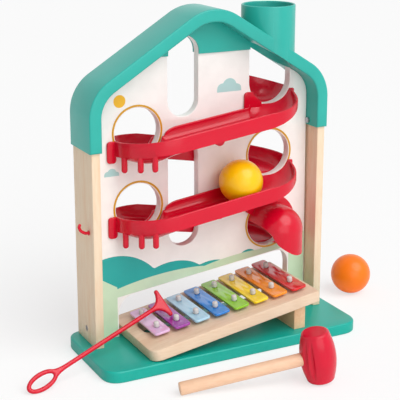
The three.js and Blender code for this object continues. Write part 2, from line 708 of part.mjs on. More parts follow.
// Roof: a hollow gable band with socket legs, a chimney and a thin gable web each side of the panel
function roofShape() {
  const deep = ROOF_HALF_DEPTH;
  const under = ROOF_FOOT - GAP;
  const attic = slab(roofOutline(ROOF_BAND, under), -BEYOND, BEYOND);
  const flue = (radius, top) =>
    rod(radius, new THREE.Vector3(HOLE_X, 0, ROOF_FOOT), new THREE.Vector3(HOLE_X, 0, top), HOLE_STEPS);
  const chimney = flue(CHIMNEY_RADIUS, CHIMNEY_TOP).subtract(attic);
  let hollow = slab(roofOutline(ROOF_WALL, under), ROOF_WALL - deep, deep - ROOF_WALL);
  const inside = slab(roofOutline(ROOF_BAND - ROOF_WALL, under), -BEYOND, BEYOND);
  hollow = hollow.subtract(inside).subtract(chimney);
  for (const [x, z] of roofBosses) {
    hollow = hollow.subtract(bore(ROOF_BOSS_RADIUS, x, z, -BEYOND, BEYOND, PEG_STEPS));
  }
  let roof = slab(roofOutline(0, ROOF_FOOT), -deep, deep).subtract(attic).subtract(hollow).add(chimney);
  const gable = roofOutline(ROOF_BAND - ROOF_WALL / 2, ROOF_FOOT);
  const above = block(-BEYOND, HOLE_X - HOLE_RADIUS, -BEYOND, BEYOND, GABLE_EDGE, BEYOND);
  const slot = slab(upperSlot(), -BEYOND, BEYOND);
  for (const front of [-MOUNT_FACE - GABLE_WALL, MOUNT_FACE]) {
    roof = roof.add(slab(gable, front, front + GABLE_WALL).intersect(above).subtract(slot));
  }
  roof = roof.subtract(flue(CHIMNEY_BORE, 2 * CHIMNEY_TOP));
  return cutScrews(roof, [...roofScrews, ...legScrews]);
}

// Entry funnel: a quarter bowl behind the panel with an ear each side, its rim falling to the right
function funnelShape() {
  const y = MOUNT_FACE;
  const z = TOP_HOLE_Z;
  const earEnd = BOWL_OUTER + EAR_WIDTH;
  const ears = block(HOLE_X - earEnd, HOLE_X + earEnd, y, y + BOWL_WALL, z - EAR_HEIGHT, z);
  const middle = new THREE.Vector3(HOLE_X, y, z);
  const collarTop = middle.clone().addScaledVector(UP, 2 * BOWL_RIM_LIFT);
  const cup = (radius) => sphere(radius, HOLE_X, y, z).add(rod(radius, middle, collarTop, BALL_STEPS));
  const bowl = cup(BOWL_OUTER).add(ears).subtract(cup(BOWL_RADIUS));
  const keep = new THREE.BoxGeometry(BEYOND, BEYOND, BEYOND);
  keep.translate(BEYOND / 2 - earEnd, BEYOND / 2, -BEYOND / 2);
  keep.rotateY(radians(BOWL_RIM_TILT)).translate(HOLE_X - BOWL_RADIUS, y, z + BOWL_RIM_LIFT);
  return cutScrews(bowl.intersect(solid(keep)), [funnelScrew]);
}

// Exit chute: an elbow hood that turns the ball down onto the bars, cut away along a curved lip
function chuteShape() {
  const y = -MOUNT_FACE - CHUTE_RADIUS;
  const z = EXIT_HOLE_Z;
  const elbow = (radius, back) => {
    const centre = new THREE.Vector3(HOLE_X, y, z);
    const pipe = rod(radius, new THREE.Vector3(HOLE_X, back, z), centre, BALL_STEPS);
    const drop = rod(radius, centre, new THREE.Vector3(HOLE_X, y, z - 2 * CHUTE_OUTER), BALL_STEPS);
    return sphere(radius, HOLE_X, y, z).add(pipe).add(drop);
  };
  const bossEnd = -MOUNT_FACE - CHUTE_BOSS_LENGTH;
  const boss = bore(CHUTE_BOSS_RADIUS, HOLE_X, chuteBossZ, bossEnd, -MOUNT_FACE, PEG_STEPS);
  const hood = elbow(CHUTE_OUTER, -MOUNT_FACE).add(boss).subtract(elbow(CHUTE_RADIUS, 0));
  const behind = block(-BEYOND, BEYOND, -MOUNT_FACE, BEYOND, -BEYOND, BEYOND);
  return cutScrews(hood.subtract(behind).subtract(slab(chuteLip(z), -BEYOND, BEYOND)), [chuteScrew]);
}

// What is cut from the hood: all below a lip that falls to the right in an S
function chuteLip(z) {
  const upper = [[-0.956, 0.27], [-0.745, 0.02], [-0.46, -0.46]];
  const lower = [[0.07, -0.84], [0.5, -0.97], [0.89, -0.96], [1.15, -0.85]];
  const shares = [...upper, ...lower];
  const lip = shares.map(([x, up]) => new THREE.Vector2(HOLE_X + x * CHUTE_OUTER, z + up * CHUTE_OUTER));
  const left = HOLE_X - 1.2 * CHUTE_OUTER;
  const foot = z - 3 * CHUTE_OUTER;
  const shape = new THREE.Shape();
  shape.moveTo(left, foot);
  shape.lineTo(left, z + 0.42 * CHUTE_OUTER);
  shape.splineThru(lip);
  shape.lineTo(lip.at(-1).x, foot);
  shape.closePath();
  return shape;
}

// Xylophone: bars stand loosely on pins over a slotted board
function barLength(i) {
  return BAR_SHORT_LENGTH + (BAR_LONG_LENGTH - BAR_SHORT_LENGTH) * i / (BAR_COUNT - 1);
}

function pinPlaces(i) {
  const reach = barLength(i) * (0.5 - BAR_PIN_SHARE);
  const x = BAR_FIRST_INSET + i * BAR_PITCH;
  return [{ end: "front", x, y: -BAR_LINE_OFFSET - reach }, { end: "rear", x, y: -BAR_LINE_OFFSET + reach }];
}

function peg(radius, { x, y }, bottom, top) {
  return rod(radius, new THREE.Vector3(x, y, bottom), new THREE.Vector3(x, y, top), PEG_STEPS);
}

function boardShape() {
  const corners = [
    [0, -BOARD_FRONT, BOARD_LEFT_CORNER],
    [BOARD_LENGTH, -BOARD_FRONT, BOARD_RIGHT_CORNER],
    [BOARD_LENGTH, BOARD_BACK, BOARD_RIGHT_CORNER],
    [0, BOARD_BACK, BOARD_LEFT_CORNER],
  ];
  let board = plate(rounded(corners), 0, BOARD_THICK);
  const half = SOUND_SLOT_WIDTH / 2;
  const slotEnd = BOARD_LENGTH - SOUND_SLOT_MARGIN;
  const slot = rounded([
    [SOUND_SLOT_MARGIN, -BAR_LINE_OFFSET - half, SOUND_SLOT_CORNER],
    [slotEnd, -BAR_LINE_OFFSET - half, SOUND_SLOT_CORNER],
    [slotEnd, -BAR_LINE_OFFSET + half, SOUND_SLOT_CORNER],
    [SOUND_SLOT_MARGIN, -BAR_LINE_OFFSET + half, SOUND_SLOT_CORNER],
  ]);
  board = board.subtract(plate(slot, -BEYOND, BEYOND));
  for (let i = 0; i < BAR_COUNT; i += 1) {
    for (const place of pinPlaces(i)) {
      const foot = BOARD_THICK - PIN_SHANK_LENGTH - GAP;
      board = board.subtract(peg(PIN_SHANK_RADIUS + GAP, place, foot, BEYOND));
    }
  }
  return board;
}

function barShape(i) {
  const x = BAR_FIRST_INSET + i * BAR_PITCH;
  const half = BAR_WIDTH / 2;
  const reach = barLength(i) / 2;
  const corners = [
    [x - half, -BAR_LINE_OFFSET - reach, BAR_CORNER],
    [x + half, -BAR_LINE_OFFSET - reach, BAR_CORNER],
    [x + half, -BAR_LINE_OFFSET + reach, BAR_CORNER],
    [x - half, -BAR_LINE_OFFSET + reach, BAR_CORNER],
  ];
  const bar = plate(rounded(corners), BAR_UNDER, BAR_UNDER + BAR_THICK);
  return pinPlaces(i).reduce(
    (left, place) => left.subtract(peg(PIN_NECK_RADIUS + PIN_FIT, place, 0, BEYOND)),
    bar,
  );
}

function pinShape({ x, y }) {
  const seat = BOARD_THICK + GAP;
  const shoulder = BOARD_THICK + BAR_LIFT;
  const cap = BAR_UNDER + BAR_THICK + BAR_PLAY;
  const crown = cap + PIN_CAP_HEIGHT;
  const profile = [
    [0, BOARD_THICK - PIN_SHANK_LENGTH],
    [PIN_SHANK_RADIUS, BOARD_THICK - PIN_SHANK_LENGTH],
    [PIN_SHANK_RADIUS, seat],
    [PIN_SPACER_RADIUS, seat],
    [PIN_SPACER_RADIUS, shoulder],
    [PIN_NECK_RADIUS, shoulder],
    [PIN_NECK_RADIUS, cap],
    [PIN_CAP_RADIUS, cap],
    [PIN_CAP_RADIUS, crown - PIN_CAP_RADIUS / 2],
    [PIN_CAP_RADIUS / 2, crown],
    [0, crown],
  ];
  return solid(turned(profile, PEG_STEPS).translate(x, y, 0));
}

function riserShape() {
  const top = (x) => BOARD_FOOT + (x - BOARD_LEFT) * Math.tan(TILT) - GAP / Math.cos(TILT);
  const left = RISER_X - RISER_WIDTH / 2;
  const right = RISER_X + RISER_WIDTH / 2;
  const corners = [
    [left, BASE_THICK, 0],
    [right, BASE_THICK, 0],
    [right, top(right), 0],
    [left, top(left), 0],
  ];
  return slab(rounded(corners), -RISER_FRONT, RISER_LENGTH - RISER_FRONT);
}

// Tool hook: a round foot on the post and a rod that turns up at its end
function hookShape() {
  const face = -FRAME_WIDTH / 2 - GAP;
  const at = (out, up) => new THREE.Vector3(face - out, HOOK_Y, HOOK_Z + up);
  const foot = rod(HOOK_FOOT_RADIUS, at(HOOK_FOOT_THICK, 0), at(0, 0), PEG_STEPS);
  const curve = new THREE.CatmullRomCurve3([
    at(HOOK_FOOT_THICK / 2, 0),
    at(HOOK_REACH * 0.6, 0),
    at(HOOK_REACH, HOOK_RISE * 0.35),
    at(HOOK_REACH, HOOK_RISE),
  ]);
  const section = new THREE.Shape().absarc(0, 0, HOOK_RADIUS, 0, 2 * Math.PI, false);
  const options = { steps: PEG_STEPS, extrudePath: curve, bevelEnabled: false, curveSegments: ARC_STEPS };
  return foot.add(solid(new THREE.ExtrudeGeometry(section, options)));
}

// Mallet, drawn with the head's middle at the origin and the handle along X
function malletHeadShape() {
  const half = MALLET_HEAD_HALF;
  const edge = MALLET_FACE_RADIUS + MALLET_EDGE;
  const side = [];
  for (let i = 0; i <= PEG_STEPS; i += 1) {
    const share = 2 * i / PEG_STEPS - 1;
    const radius = MALLET_HEAD_RADIUS + (edge - MALLET_HEAD_RADIUS) * share * share;
    side.push([radius, share * (half - MALLET_EDGE)]);
  }
  const profile = [[0, -half], [MALLET_FACE_RADIUS, -half], ...side, [MALLET_FACE_RADIUS, half], [0, half]];
  const socket = rod(
    MALLET_HANDLE_RADIUS + GAP,
    new THREE.Vector3(-MALLET_SOCKET - GAP, 0, 0),
    new THREE.Vector3(MALLET_REACH, 0, 0),
    BALL_STEPS,
  );
  return solid(turned(profile, BALL_STEPS)).subtract(socket);
}

function malletHandleShape() {
  const radius = MALLET_HANDLE_RADIUS;
  const round = MALLET_EDGE;
  const profile = [
    [0, -MALLET_SOCKET],
    [radius, -MALLET_SOCKET],
    [radius, MALLET_REACH - round],
    [radius - round / 3, MALLET_REACH - round / 3],
    [radius - round, MALLET_REACH],
    [0, MALLET_REACH],
  ];
  return solid(turned(profile, BALL_STEPS).rotateY(Math.PI / 2));
}

// Ball rake, drawn flat with the loop's middle at the origin and the shaft along X
function loopShape() {
  const half = RAKE_HOLE_LENGTH / 2;
  const narrow = RAKE_HOLE_WIDTH / 2;
  const wall = 2 * RAKE_ROD_RADIUS;
  const outline = new THREE.Shape().absellipse(0, 0, half + wall, narrow + wall, 0, 2 * Math.PI, false, 0);
  outline.holes.push(new THREE.Path().absellipse(0, 0, half, narrow, 0, 2 * Math.PI, false, 0));
  return easedPlate(outline, -RAKE_ROD_RADIUS, RAKE_ROD_RADIUS, RAKE_EDGE, PEG_STEPS);
}

// The shaft, which thickens to a neck where it meets the loop
function shaftShape() {
  const start = new THREE.Vector3(RAKE_HOLE_LENGTH / 2 + RAKE_ROD_RADIUS, 0, 0);
  const shaft = rod(RAKE_ROD_RADIUS, start, new THREE.Vector3(RAKE_LENGTH, 0, 0), PEG_STEPS);
  const neck = new THREE.CylinderGeometry(RAKE_ROD_RADIUS, RAKE_NECK_RADIUS, RAKE_NECK_LENGTH, PEG_STEPS);
  neck.rotateZ(-Math.PI / 2).translate(start.x + RAKE_NECK_LENGTH / 2, 0, 0);
  return shaft.add(solid(neck));
}

// The bar across the shaft's end and the web that spreads to the bar's ends
function headShape() {
  const radius = RAKE_ROD_RADIUS;
  const bar = new THREE.CapsuleGeometry(radius, RAKE_WIDTH, ARC_STEPS, PEG_STEPS);
  bar.translate(RAKE_LENGTH, 0, 0);
  const tail = RAKE_LENGTH - RAKE_HEAD_LENGTH;
  const turn = RAKE_LENGTH - RAKE_WEB_REACH;
  const half = RAKE_WIDTH / 2;
  const wing = new THREE.Shape();
  wing.moveTo(tail, 0);
  wing.quadraticCurveTo(turn, -RAKE_WEB_WIDTH, RAKE_LENGTH, -half);
  wing.lineTo(RAKE_LENGTH, half);
  wing.quadraticCurveTo(turn, RAKE_WEB_WIDTH, tail, 0);
  return solid(bar).add(plate(wing, -RAKE_EDGE, RAKE_EDGE));
}

function cornersOf(shape) {
  const { vertProperties } = shape.getMesh();
  const corners = [];
  for (let i = 0; i < vertProperties.length; i += 3) {
    corners.push(new THREE.Vector3().fromArray(vertProperties, i));
  }
  return corners;
}

// The least height of some corners over a surface once they are turned and put in place
function leastHeight(corners, turn, place, surface) {
  const heights = corners.map((corner) => {
    const at = corner.clone().applyEuler(turn).add(place);
    return at.z - surface(at.x);
  });
  return Math.min(...heights);
}

function barTops(x) {
  const climb = (x - BOARD_LEFT) * Math.tan(TILT);
  return BOARD_FOOT + climb + (BAR_UNDER + BAR_THICK) / Math.cos(TILT);
}

function rakeTurn(rise) {
  return new THREE.Euler(radians(RAKE_ROLL), -rise, radians(RAKE_HEADING), "ZYX");
}

// Where the loop's middle is when the loop rests on the floor
function rakePlace(rise) {
  const place = new THREE.Vector3(RAKE_X, RAKE_Y, 0);
  return place.setZ(-leastHeight(loopCorners, rakeTurn(rise), place, () => 0));
}

// The rise of the shaft that leaves the head over the bars by as much as a bar can lift
function rakeRise() {
  let low = 0;
  let high = Math.PI / 4;
  for (let i = 0; i < BALL_STEPS; i += 1) {
    const middle = (low + high) / 2;
    if (leastHeight(headCorners, rakeTurn(middle), rakePlace(middle), barTops) < BAR_PLAY) {
      low = middle;
    } else {
      high = middle;
    }
  }
  return high;
}

// Assembly
add(toy, "base_board", baseShape(), LOOKS.base);
add(toy, "left_post", postShape(-1), LOOKS.wood);
add(toy, "right_post", postShape(1), LOOKS.wood);
add(toy, "play_panel", panelShape(), LOOKS.white);
const roof = roofShape();
const frontHalf = block(-BEYOND, BEYOND, -BEYOND, -GAP / 2, -BEYOND, 2 * BEYOND);
const rearHalf = block(-BEYOND, BEYOND, GAP / 2, BEYOND, -BEYOND, 2 * BEYOND);
add(toy, "roof_front_shell", roof.intersect(frontHalf), LOOKS.teal);
add(toy, "roof_rear_shell", roof.intersect(rearHalf), LOOKS.teal);
add(toy, "entry_funnel", funnelShape(), LOOKS.red);
for (const track of tracks) {
  const mesh = add(toy, track.name, trackShape(track.run, track.bossX), LOOKS.red);
  mesh.position.z = track.startZ;
  mesh.rotation.z = track.rear ? Math.PI : 0;
}
add(toy, "exit_chute", chuteShape(), LOOKS.red);
add(toy, "tool_hook", hookShape(), LOOKS.red);

const screws = {
  roof_screw_left: roofScrews[0],
  roof_screw_top: roofScrews[1],
  roof_screw_right: roofScrews[2],
  leg_screw_left: legScrews[0],
  leg_screw_right: legScrews[1],
  post_screw_left: postScrews[0],
  post_screw_right: postScrews[1],
  base_screw_left: baseScrews[0],
  base_screw_right: baseScrews[1],
  entry_funnel_screw: funnelScrew,
  exit_chute_screw: chuteScrew,
};
for (const track of tracks) {
  screws[`${track.name}_screw`] = track.fastener;
}
for (const [name, one] of Object.entries(screws)) {
  add(toy, name, screwShape(one, 0), LOOKS.steel);
}

const xylophone = new THREE.Group();
xylophone.name = "xylophone";
xylophone.position.set(BOARD_LEFT, 0, BOARD_FOOT);
xylophone.rotation.y = -TILT;
toy.add(xylophone);
add(xylophone, "xylophone_board", boardShape(), LOOKS.wood);
for (let i = 0; i < BAR_COUNT; i += 1) {
  const number = i + 1;
  add(xylophone, `bar_${number}`, barShape(i), { ...LOOKS.base, color: BAR_COLOURS[i] });
  for (const place of pinPlaces(i)) {
    add(xylophone, `bar_${number}_${place.end}_pin`, pinShape(place), LOOKS.pin);
  }
}
add(toy, "xylophone_riser", riserShape(), LOOKS.wood);

const yellowTrack = tracks[2];
const yellow = add(toy, "yellow_ball", sphere(BALL_RADIUS, 0, 0, 0), LOOKS.yellow);
const lean = Math.atan(yellowTrack.run.slope);
const yellowFloor = yellowTrack.startZ + straightFloor(yellowTrack.run, YELLOW_X);
yellow.position.set(YELLOW_X, -MOUNT_FACE - TURN_RADIUS, yellowFloor + (BALL_RADIUS + GAP) / Math.cos(lean));
const orange = add(toy, "orange_ball", sphere(BALL_RADIUS, 0, 0, 0), LOOKS.orange);
orange.position.set(ORANGE_X, ORANGE_Y, BALL_RADIUS);

const mallet = new THREE.Group();
mallet.name = "mallet";
const malletTilt = Math.atan((MALLET_HEAD_HALF - MALLET_HANDLE_RADIUS) / (MALLET_REACH - MALLET_FACE_RADIUS));
const malletZ = MALLET_HEAD_HALF * Math.cos(malletTilt) + MALLET_FACE_RADIUS * Math.sin(malletTilt);
mallet.position.set(MALLET_X, MALLET_Y, malletZ);
mallet.rotation.set(0, malletTilt, radians(MALLET_HEADING), "ZYX");
toy.add(mallet);
add(mallet, "mallet_head", malletHeadShape(), LOOKS.red);
add(mallet, "mallet_handle", malletHandleShape(), LOOKS.wood);

const rakeLoop = loopShape();
const rakeHead = headShape();
const loopCorners = cornersOf(rakeLoop);
const headCorners = cornersOf(rakeHead);
const rise = rakeRise();
const rake = add(toy, "ball_rake", rakeLoop.add(shaftShape()).add(rakeHead), LOOKS.red);
rake.position.copy(rakePlace(rise));
rake.rotation.copy(rakeTurn(rise));

export default toy;
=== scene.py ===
import json
import math

import bmesh
import bpy
import numpy as np
from mathutils import Matrix, Vector


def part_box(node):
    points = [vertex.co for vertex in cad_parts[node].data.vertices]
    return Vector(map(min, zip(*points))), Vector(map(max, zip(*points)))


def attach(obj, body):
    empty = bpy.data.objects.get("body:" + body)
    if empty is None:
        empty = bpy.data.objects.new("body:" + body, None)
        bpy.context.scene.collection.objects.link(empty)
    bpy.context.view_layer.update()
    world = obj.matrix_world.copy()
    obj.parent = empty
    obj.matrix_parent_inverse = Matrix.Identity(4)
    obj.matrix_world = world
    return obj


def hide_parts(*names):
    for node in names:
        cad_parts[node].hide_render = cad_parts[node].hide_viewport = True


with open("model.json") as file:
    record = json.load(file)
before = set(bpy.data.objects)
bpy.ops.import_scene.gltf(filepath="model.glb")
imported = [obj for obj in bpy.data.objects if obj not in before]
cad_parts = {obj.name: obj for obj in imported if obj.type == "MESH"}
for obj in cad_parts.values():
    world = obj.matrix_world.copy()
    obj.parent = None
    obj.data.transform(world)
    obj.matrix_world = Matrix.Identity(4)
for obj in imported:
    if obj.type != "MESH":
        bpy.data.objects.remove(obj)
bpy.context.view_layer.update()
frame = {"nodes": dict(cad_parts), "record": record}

# Every size is in millimetres and becomes metres when a mesh is made
MM = 0.001
QUARTER = math.pi / 2
FULL = 2 * math.pi

# Meshes: an edge that turns by more degrees than its angle is shaded sharp
SMOOTH_ANGLE = 35
TRACK_SMOOTH = 50
TUBE_SMOOTH = 60
MALLET_SMOOTH = 40
MERGE_DISTANCE = 0.002
KEEN_EDGE = 0.01
FINE_STEPS = 96

# Cutting solids reach past what they cut
FAR = 200
ATTIC_DEPTH = 100
CUT_DEPTH = 20
CUT_MARGIN = 5
CUT_FRONT = 120
CUT_BACK = 40
NOTCH_TOP = 420

# Balls, holes and the faces that pieces stand on
BALL_RADIUS = 23
MOUNT_FACE = 5.3
PANEL_FACE = 5
HOLE_X = 77
HOLE_RADIUS = 25
HOLE_COUNT = 4
TOP_HOLE_Z = 269.5
RUN_DROP = 39.5
EXIT_HOLE_Z = TOP_HOLE_Z - HOLE_COUNT * RUN_DROP

# Roof
ROOF_BAND = 13
ROOF_HALF = 137
ROOF_HALF_DEPTH = 27
ROOF_FOOT = 217.5
ROOF_PITCH = math.radians(32)
APEX_RADIUS = 50
APEX_Z = 301.5
EAVE_RADIUS = 44
EAVE_X = ROOF_HALF - EAVE_RADIUS
EAVE_Z = APEX_Z + (APEX_RADIUS - EAVE_RADIUS - EAVE_X * math.sin(ROOF_PITCH)) / math.cos(ROOF_PITCH)
ROOF_EDGE = 1.7
GABLE_EDGE = 304.5
GABLE_WALL = 2.2
GABLE_LAP = 0.9
GABLE_EASE = 0.3
CHIMNEY_RADIUS = 28.5
CHIMNEY_BORE = 26
CHIMNEY_TOP = 350
CHIMNEY_LIP = 1.2
CHIMNEY_STEPS = 72
FLUE_FOOT = EAVE_Z + 20
FLUE_LAP = 0.5

# Panel
PANEL_SIDE = 125.7
PANEL_GAP = 0.3
PANEL_EDGE = 0.5
BASE_TOP = 12.5
SLOT_X = -25.5
SLOT_RADIUS = 17.5
UPPER_SLOT = (240.5, 324.5)
LOWER_SLOT = (101.5, 214.5)
WINDOW_LEFT = -101
WINDOW_RIGHT = 103.5
WINDOW_HEAD = 55.5
WINDOW_SLOPE = math.radians(6.8)
WINDOW_CORNER = 20
WINDOW_SINK = 9

# Print: crests are a place, a half width and a height, cloud heads a place, a height and a radius
LAYER_THICK = 0.06
PRINT_EDGE = 1.2
RING_OUTER = 27.9
RING_INNER = 25.9
RING_LAYER = 3
CREST_POWER = 0.7
CREST_FOOT = 0.8
CREST_START = 0.9
FAR_CRESTS = [(-112, 62, 46), (-44, 44, 22), (4, 26, 10)]
FAR_END = 30
SIDE_CRESTS = [(52, 13, 10)]
SIDE_SPAN = (39, 65)
NEAR_CRESTS = [(-60, 75, 12), (34, 58, 8), (92, 30, 11)]
LEFT_LEG_RISE = (26, 12)
RIGHT_LEG_RISE = (34, 40)
CLOUD_HEADS = [(-0.55, 0.2, 0.45), (0.05, 0.4, 0.6), (0.65, 0.15, 0.4)]
CLOUD_LEFT = -1
CLOUD_RIGHT = 1.05
CLOUD_FOOT = 0.1
CLOUDS = {"cloud_high": (28, 262, 14), "cloud_left": (-106, 187, 8)}
SUN_DISC = (-96, 263, 6.5)

# Tracks
TRACK_WALL = 2.4
TRACK_HEIGHT = 16.7
TRACK_BACK = 13.5
TRACK_LOW = 6.6
TRACK_HALF = 23.8
TRACK_OUTER = TRACK_HALF + TRACK_WALL
TRACK_DISH = 2.4
DISH_SPREAD = 0.55
DISH_RIM = 1.75
DISH_POWER = 8
UNDER_RISE = 1.4
UNDER_POWER = 2.4
SCOOP_FLOOR = 0.5
SCOOP_UNDER = 0.7
STRAIGHT_STATIONS = [20, -10]
TAPER_START = -34
TAPER_LENGTH = 14
TAPER_STEPS = 12
TURN_CLEARANCE = 0.8
TURN_RADIUS = TRACK_OUTER + TURN_CLEARANCE
TURN_X = HOLE_X - TURN_RADIUS
ENTRY_SINK = 1.6
ENTRY_FLOOR = -BALL_RADIUS - ENTRY_SINK
ENTRY_DIP = 2.2
FRONT_ENTRY_DROP = 15
REAR_ENTRY_DROP = 9.5
EXIT_SINK = 0.4
EXIT_FLOOR = -BALL_RADIUS - EXIT_SINK - RUN_DROP
EXIT_DROP = 10
EXIT_DIP = 2.5
EXIT_BELLY = 8.5
BELLY_FADE = 0.9
PLATE_EDGE = 0.6
CORNER_REACH = 4.5
LIP_REACH = 16.2
TAB_CORNER = 4
EXIT_TAB_WIDTH = 8
EXIT_TAB_LAP = 0.5
EXIT_TAB_DROP = 6
EXIT_TAB_EDGE = 0.7
ENTRY_TAB_WIDTH = 3
ENTRY_TAB_LAP = 0.4
ENTRY_TAB_DROP = 9
ENTRY_TAB_CORNER = 2
RIB_RADIUS = 3.1
RIB_DOME = 0.98
RIB_SHARES = (0.365, 0.555, 0.815)
RIB_REACH = 10
RIB_HEIGHT = 4
TRACK_BOSS_X = 9
TRACK_BOSS_RADIUS = 5.5
TRACK_BOSS_LENGTH = 17
TRACK_BOSS_LIFT = 0.24
TRACK_BOSS_DROP = 4.6
BOSS_EDGE = 0.8
TRACK_NAMES = ["upper_front_track", "upper_rear_track", "lower_front_track", "lower_rear_track"]

# Funnel
BOWL_RADIUS = 25.5
BOWL_OUTER = 27.9
BOWL_CUTS = 40
BOWL_RIM_TILT = math.radians(16)
BOWL_RIM_LIFT = 6
EAR_WIDTH = 9
EAR_HEIGHT = 16
EAR_CORNER = 2
EAR_THICK = 2.4
EAR_EDGE = 0.3

# Chute: its lip runs through points in shares of the outer radius
CHUTE_RADIUS = 23.8
CHUTE_OUTER = 25.6
CHUTE_CUTS = 32
LIP_SHARES = [(-1.2, 0.42), (-0.956, 0.27), (-0.745, 0.02), (-0.46, -0.46), (0.07, -0.84), (0.5, -0.97),
              (0.89, -0.96), (1.15, -0.85)]
CHUTE_BOSS_RADIUS = 4
CHUTE_BOSS_LENGTH = 12
CHUTE_BOSS_RISE = 3
FLANGE_RADIUS = 33
FLANGE_THICK = 2.8
FLANGE_LAP = 0.6
FLANGE_EDGE = 0.8
FLANGE_FROM = math.radians(-8)
FLANGE_TO = math.radians(150)
FLANGE_STEPS = 40

# Xylophone
TILT = math.radians(9.1)
BOARD_LEFT = -97
BOARD_FOOT = 12.8
BOARD_LENGTH = 197
BOARD_FRONT = 83
BOARD_BACK = 20
BOARD_THICK = 12
BOARD_EDGE = 0.8
LOW_CORNER = 12
HIGH_CORNER = 3
RISER_EDGE = 0.5
SOUND_SLOT_HALF = 15.5
SOUND_SLOT_CORNER = 11
SOUND_SLOT_MARGIN = 13
BAR_COUNT = 8
BAR_FIRST = 24
BAR_PITCH = 22.3
BAR_WIDTH = 17.5
BAR_SHORT = 66
BAR_LONG = 90
BAR_LINE = 27
BAR_UNDER = 15.3
BAR_THICK = 2.5
BAR_CORNER = 3.5
BAR_EDGE = 0.5
BAR_PLAY = 0.8
PIN_SHARE = 0.222
PIN_HOLE = 2.3
PIN_STEPS = 24
PIN_FOOT = 4
PIN_SHANK = 1.5
PIN_NECK = 1.9
SPACER_RADIUS = 3.6
SPACER_FOOT = 12.3
SPACER_TOP = 15
CAP_RADIUS = 2.9
CAP_SIDE = 3.6
CAP_DOME = 1.9
CAP_HEIGHT = 5.5
CAP_TURNS = (0.25, 1.4)

# Base and posts
BASE_HALF = 147.5
BASE_FRONT = 85
BASE_BACK = 30
BASE_CORNER = 20
BASE_EDGE = 1.9
POST_EDGE = 0.9
POST_EASE = 0.7

# Mallet: the flutes are at degrees round the head, on both sides of the handle
MALLET_AT = (39.6, -167.6)
MALLET_HEADING = math.radians(165.3)
MALLET_HALF = 26
MALLET_RADIUS = 18
MALLET_FACE = 12.5
MALLET_EDGE = 1.5
MALLET_ROUND = 1.6
MALLET_CENTRE = 0.5
FLUTES = (31, 54)
FLUTE_WIDTH = 9
FLUTE_DEPTH = 2.2
FLUTE_FADE = 1.15
HANDLE_RADIUS = 6.5
HANDLE_REACH = 139.4
HANDLE_SINK = 6
HANDLE_EDGE = 1.3

# Rake
RAKE_AT = (-206, -62, 8.958)
RAKE_HEADING = math.radians(13.3)
RAKE_RISE = math.radians(15.563)
RAKE_ROLL = math.radians(51.6)
RAKE_LENGTH = 155.3
RAKE_BAR = 13.35
RAKE_ROD = 2.3
RAKE_EDGE = 2.2
RAKE_HOLE = (13, 4.5)
RAKE_LOOP_END = math.radians(35)
RAKE_NECK_TURN = 18.3
RAKE_NECK_END = 31
RAKE_HEAD = 15
RAKE_WEB_REACH = 4.5
RAKE_WEB_RISE = 3.4

# Tool hook: its rod runs through points that are out from the post and up
HOOK_FACE = -135.3
HOOK_Y = -14
HOOK_Z = 136
HOOK_PATH = ((0.8, -1.6), (4.5, -1.1), (8.6, 1.6), (10.4, 5.4), (9.8, 7.6))
HOOK_ROD = 1.6
HOOK_DOME_START = 0.2
HOOK_FOOT_DROP = 1.6
HOOK_FOOT_RADIUS = 2.6
HOOK_FOOT_THICK = 1.2
HOOK_FOOT_EDGE = 0.5

# Floor and light, with places in metres
FLOOR_HALF = 4000
FLOOR_COLOUR = (0.96, 0.96, 0.96, 1)
FLOOR_SHADE = 0.99
FLOOR_MOTTLE = 6
FLOOR_ROUGHNESS = 0.9
FLOOR_GLOW = 0.64
WHITE = (1, 1, 1, 1)
SKY_STRENGTH = 0.42
LIGHT_TARGET = (0, 0, 0.17)
FRONT_AT = (-0.1, -2.0, 0.6)
FRONT_SIZE = 1.8
FRONT_POWER = 11.5
KEY_AT = (0.45, -1.0, 1.6)
KEY_POWER = 1.95
KEY_ANGLE = math.radians(50)

# Camera, with its place in metres
FOCAL_PIXELS = 1130.07
IMAGE_PIXELS = 400
SENSOR_WIDTH = 36
VIEW_SHIFT = -0.1
CAMERA_AT = (-0.5287, -1.0200, 0.4898)
CAMERA_PITCH = math.radians(14.61)
CAMERA_YAW = math.radians(27.25)


# Objects from meshes
def show(name, mesh, smooth_angle):
    """An object of a mesh, shaded smooth between its sharp edges."""
    mesh.polygons.foreach_set("use_smooth", [True] * len(mesh.polygons))
    mesh.set_sharp_from_angle(angle=math.radians(smooth_angle))
    shown = bpy.data.objects.new(name, mesh)
    bpy.context.collection.objects.link(shown)
    return shown


def finish_mesh(name, mesh, smooth_angle=SMOOTH_ANGLE):
    """An object of a mesh whose doubled points are merged and whose faces look outward."""
    work = bmesh.new()
    work.from_mesh(mesh)
    bmesh.ops.remove_doubles(work, verts=work.verts, dist=MERGE_DISTANCE * MM)
    bmesh.ops.recalc_face_normals(work, faces=work.faces)
    work.to_mesh(mesh)
    work.free()
    return show(name, mesh, smooth_angle)


def piece(name, points, faces, smooth_angle=SMOOTH_ANGLE):
    """An object of points in millimetres."""
    mesh = bpy.data.meshes.new(name)
    mesh.from_pydata([Vector(p) * MM for p in points], [], faces)
    return finish_mesh(name, mesh, smooth_angle)


def join(name, pieces, smooth_angle=SMOOTH_ANGLE):
    """Several objects in one, each with its own surface."""
    work = bmesh.new()
    for one in pieces:
        work.from_mesh(one.data)
        bpy.data.objects.remove(one)
    mesh = bpy.data.meshes.new(name)
    work.to_mesh(mesh)
    work.free()
    return show(name, mesh, smooth_angle)


def baked(shown):
    """A mesh object in place of a curve, or of a mesh with modifiers."""
    bpy.context.view_layer.update()
    graph = bpy.context.evaluated_depsgraph_get()
    mesh = bpy.data.meshes.new_from_object(shown.evaluated_get(graph))
    name = shown.name
    bpy.data.objects.remove(shown)
    return finish_mesh(name, mesh)


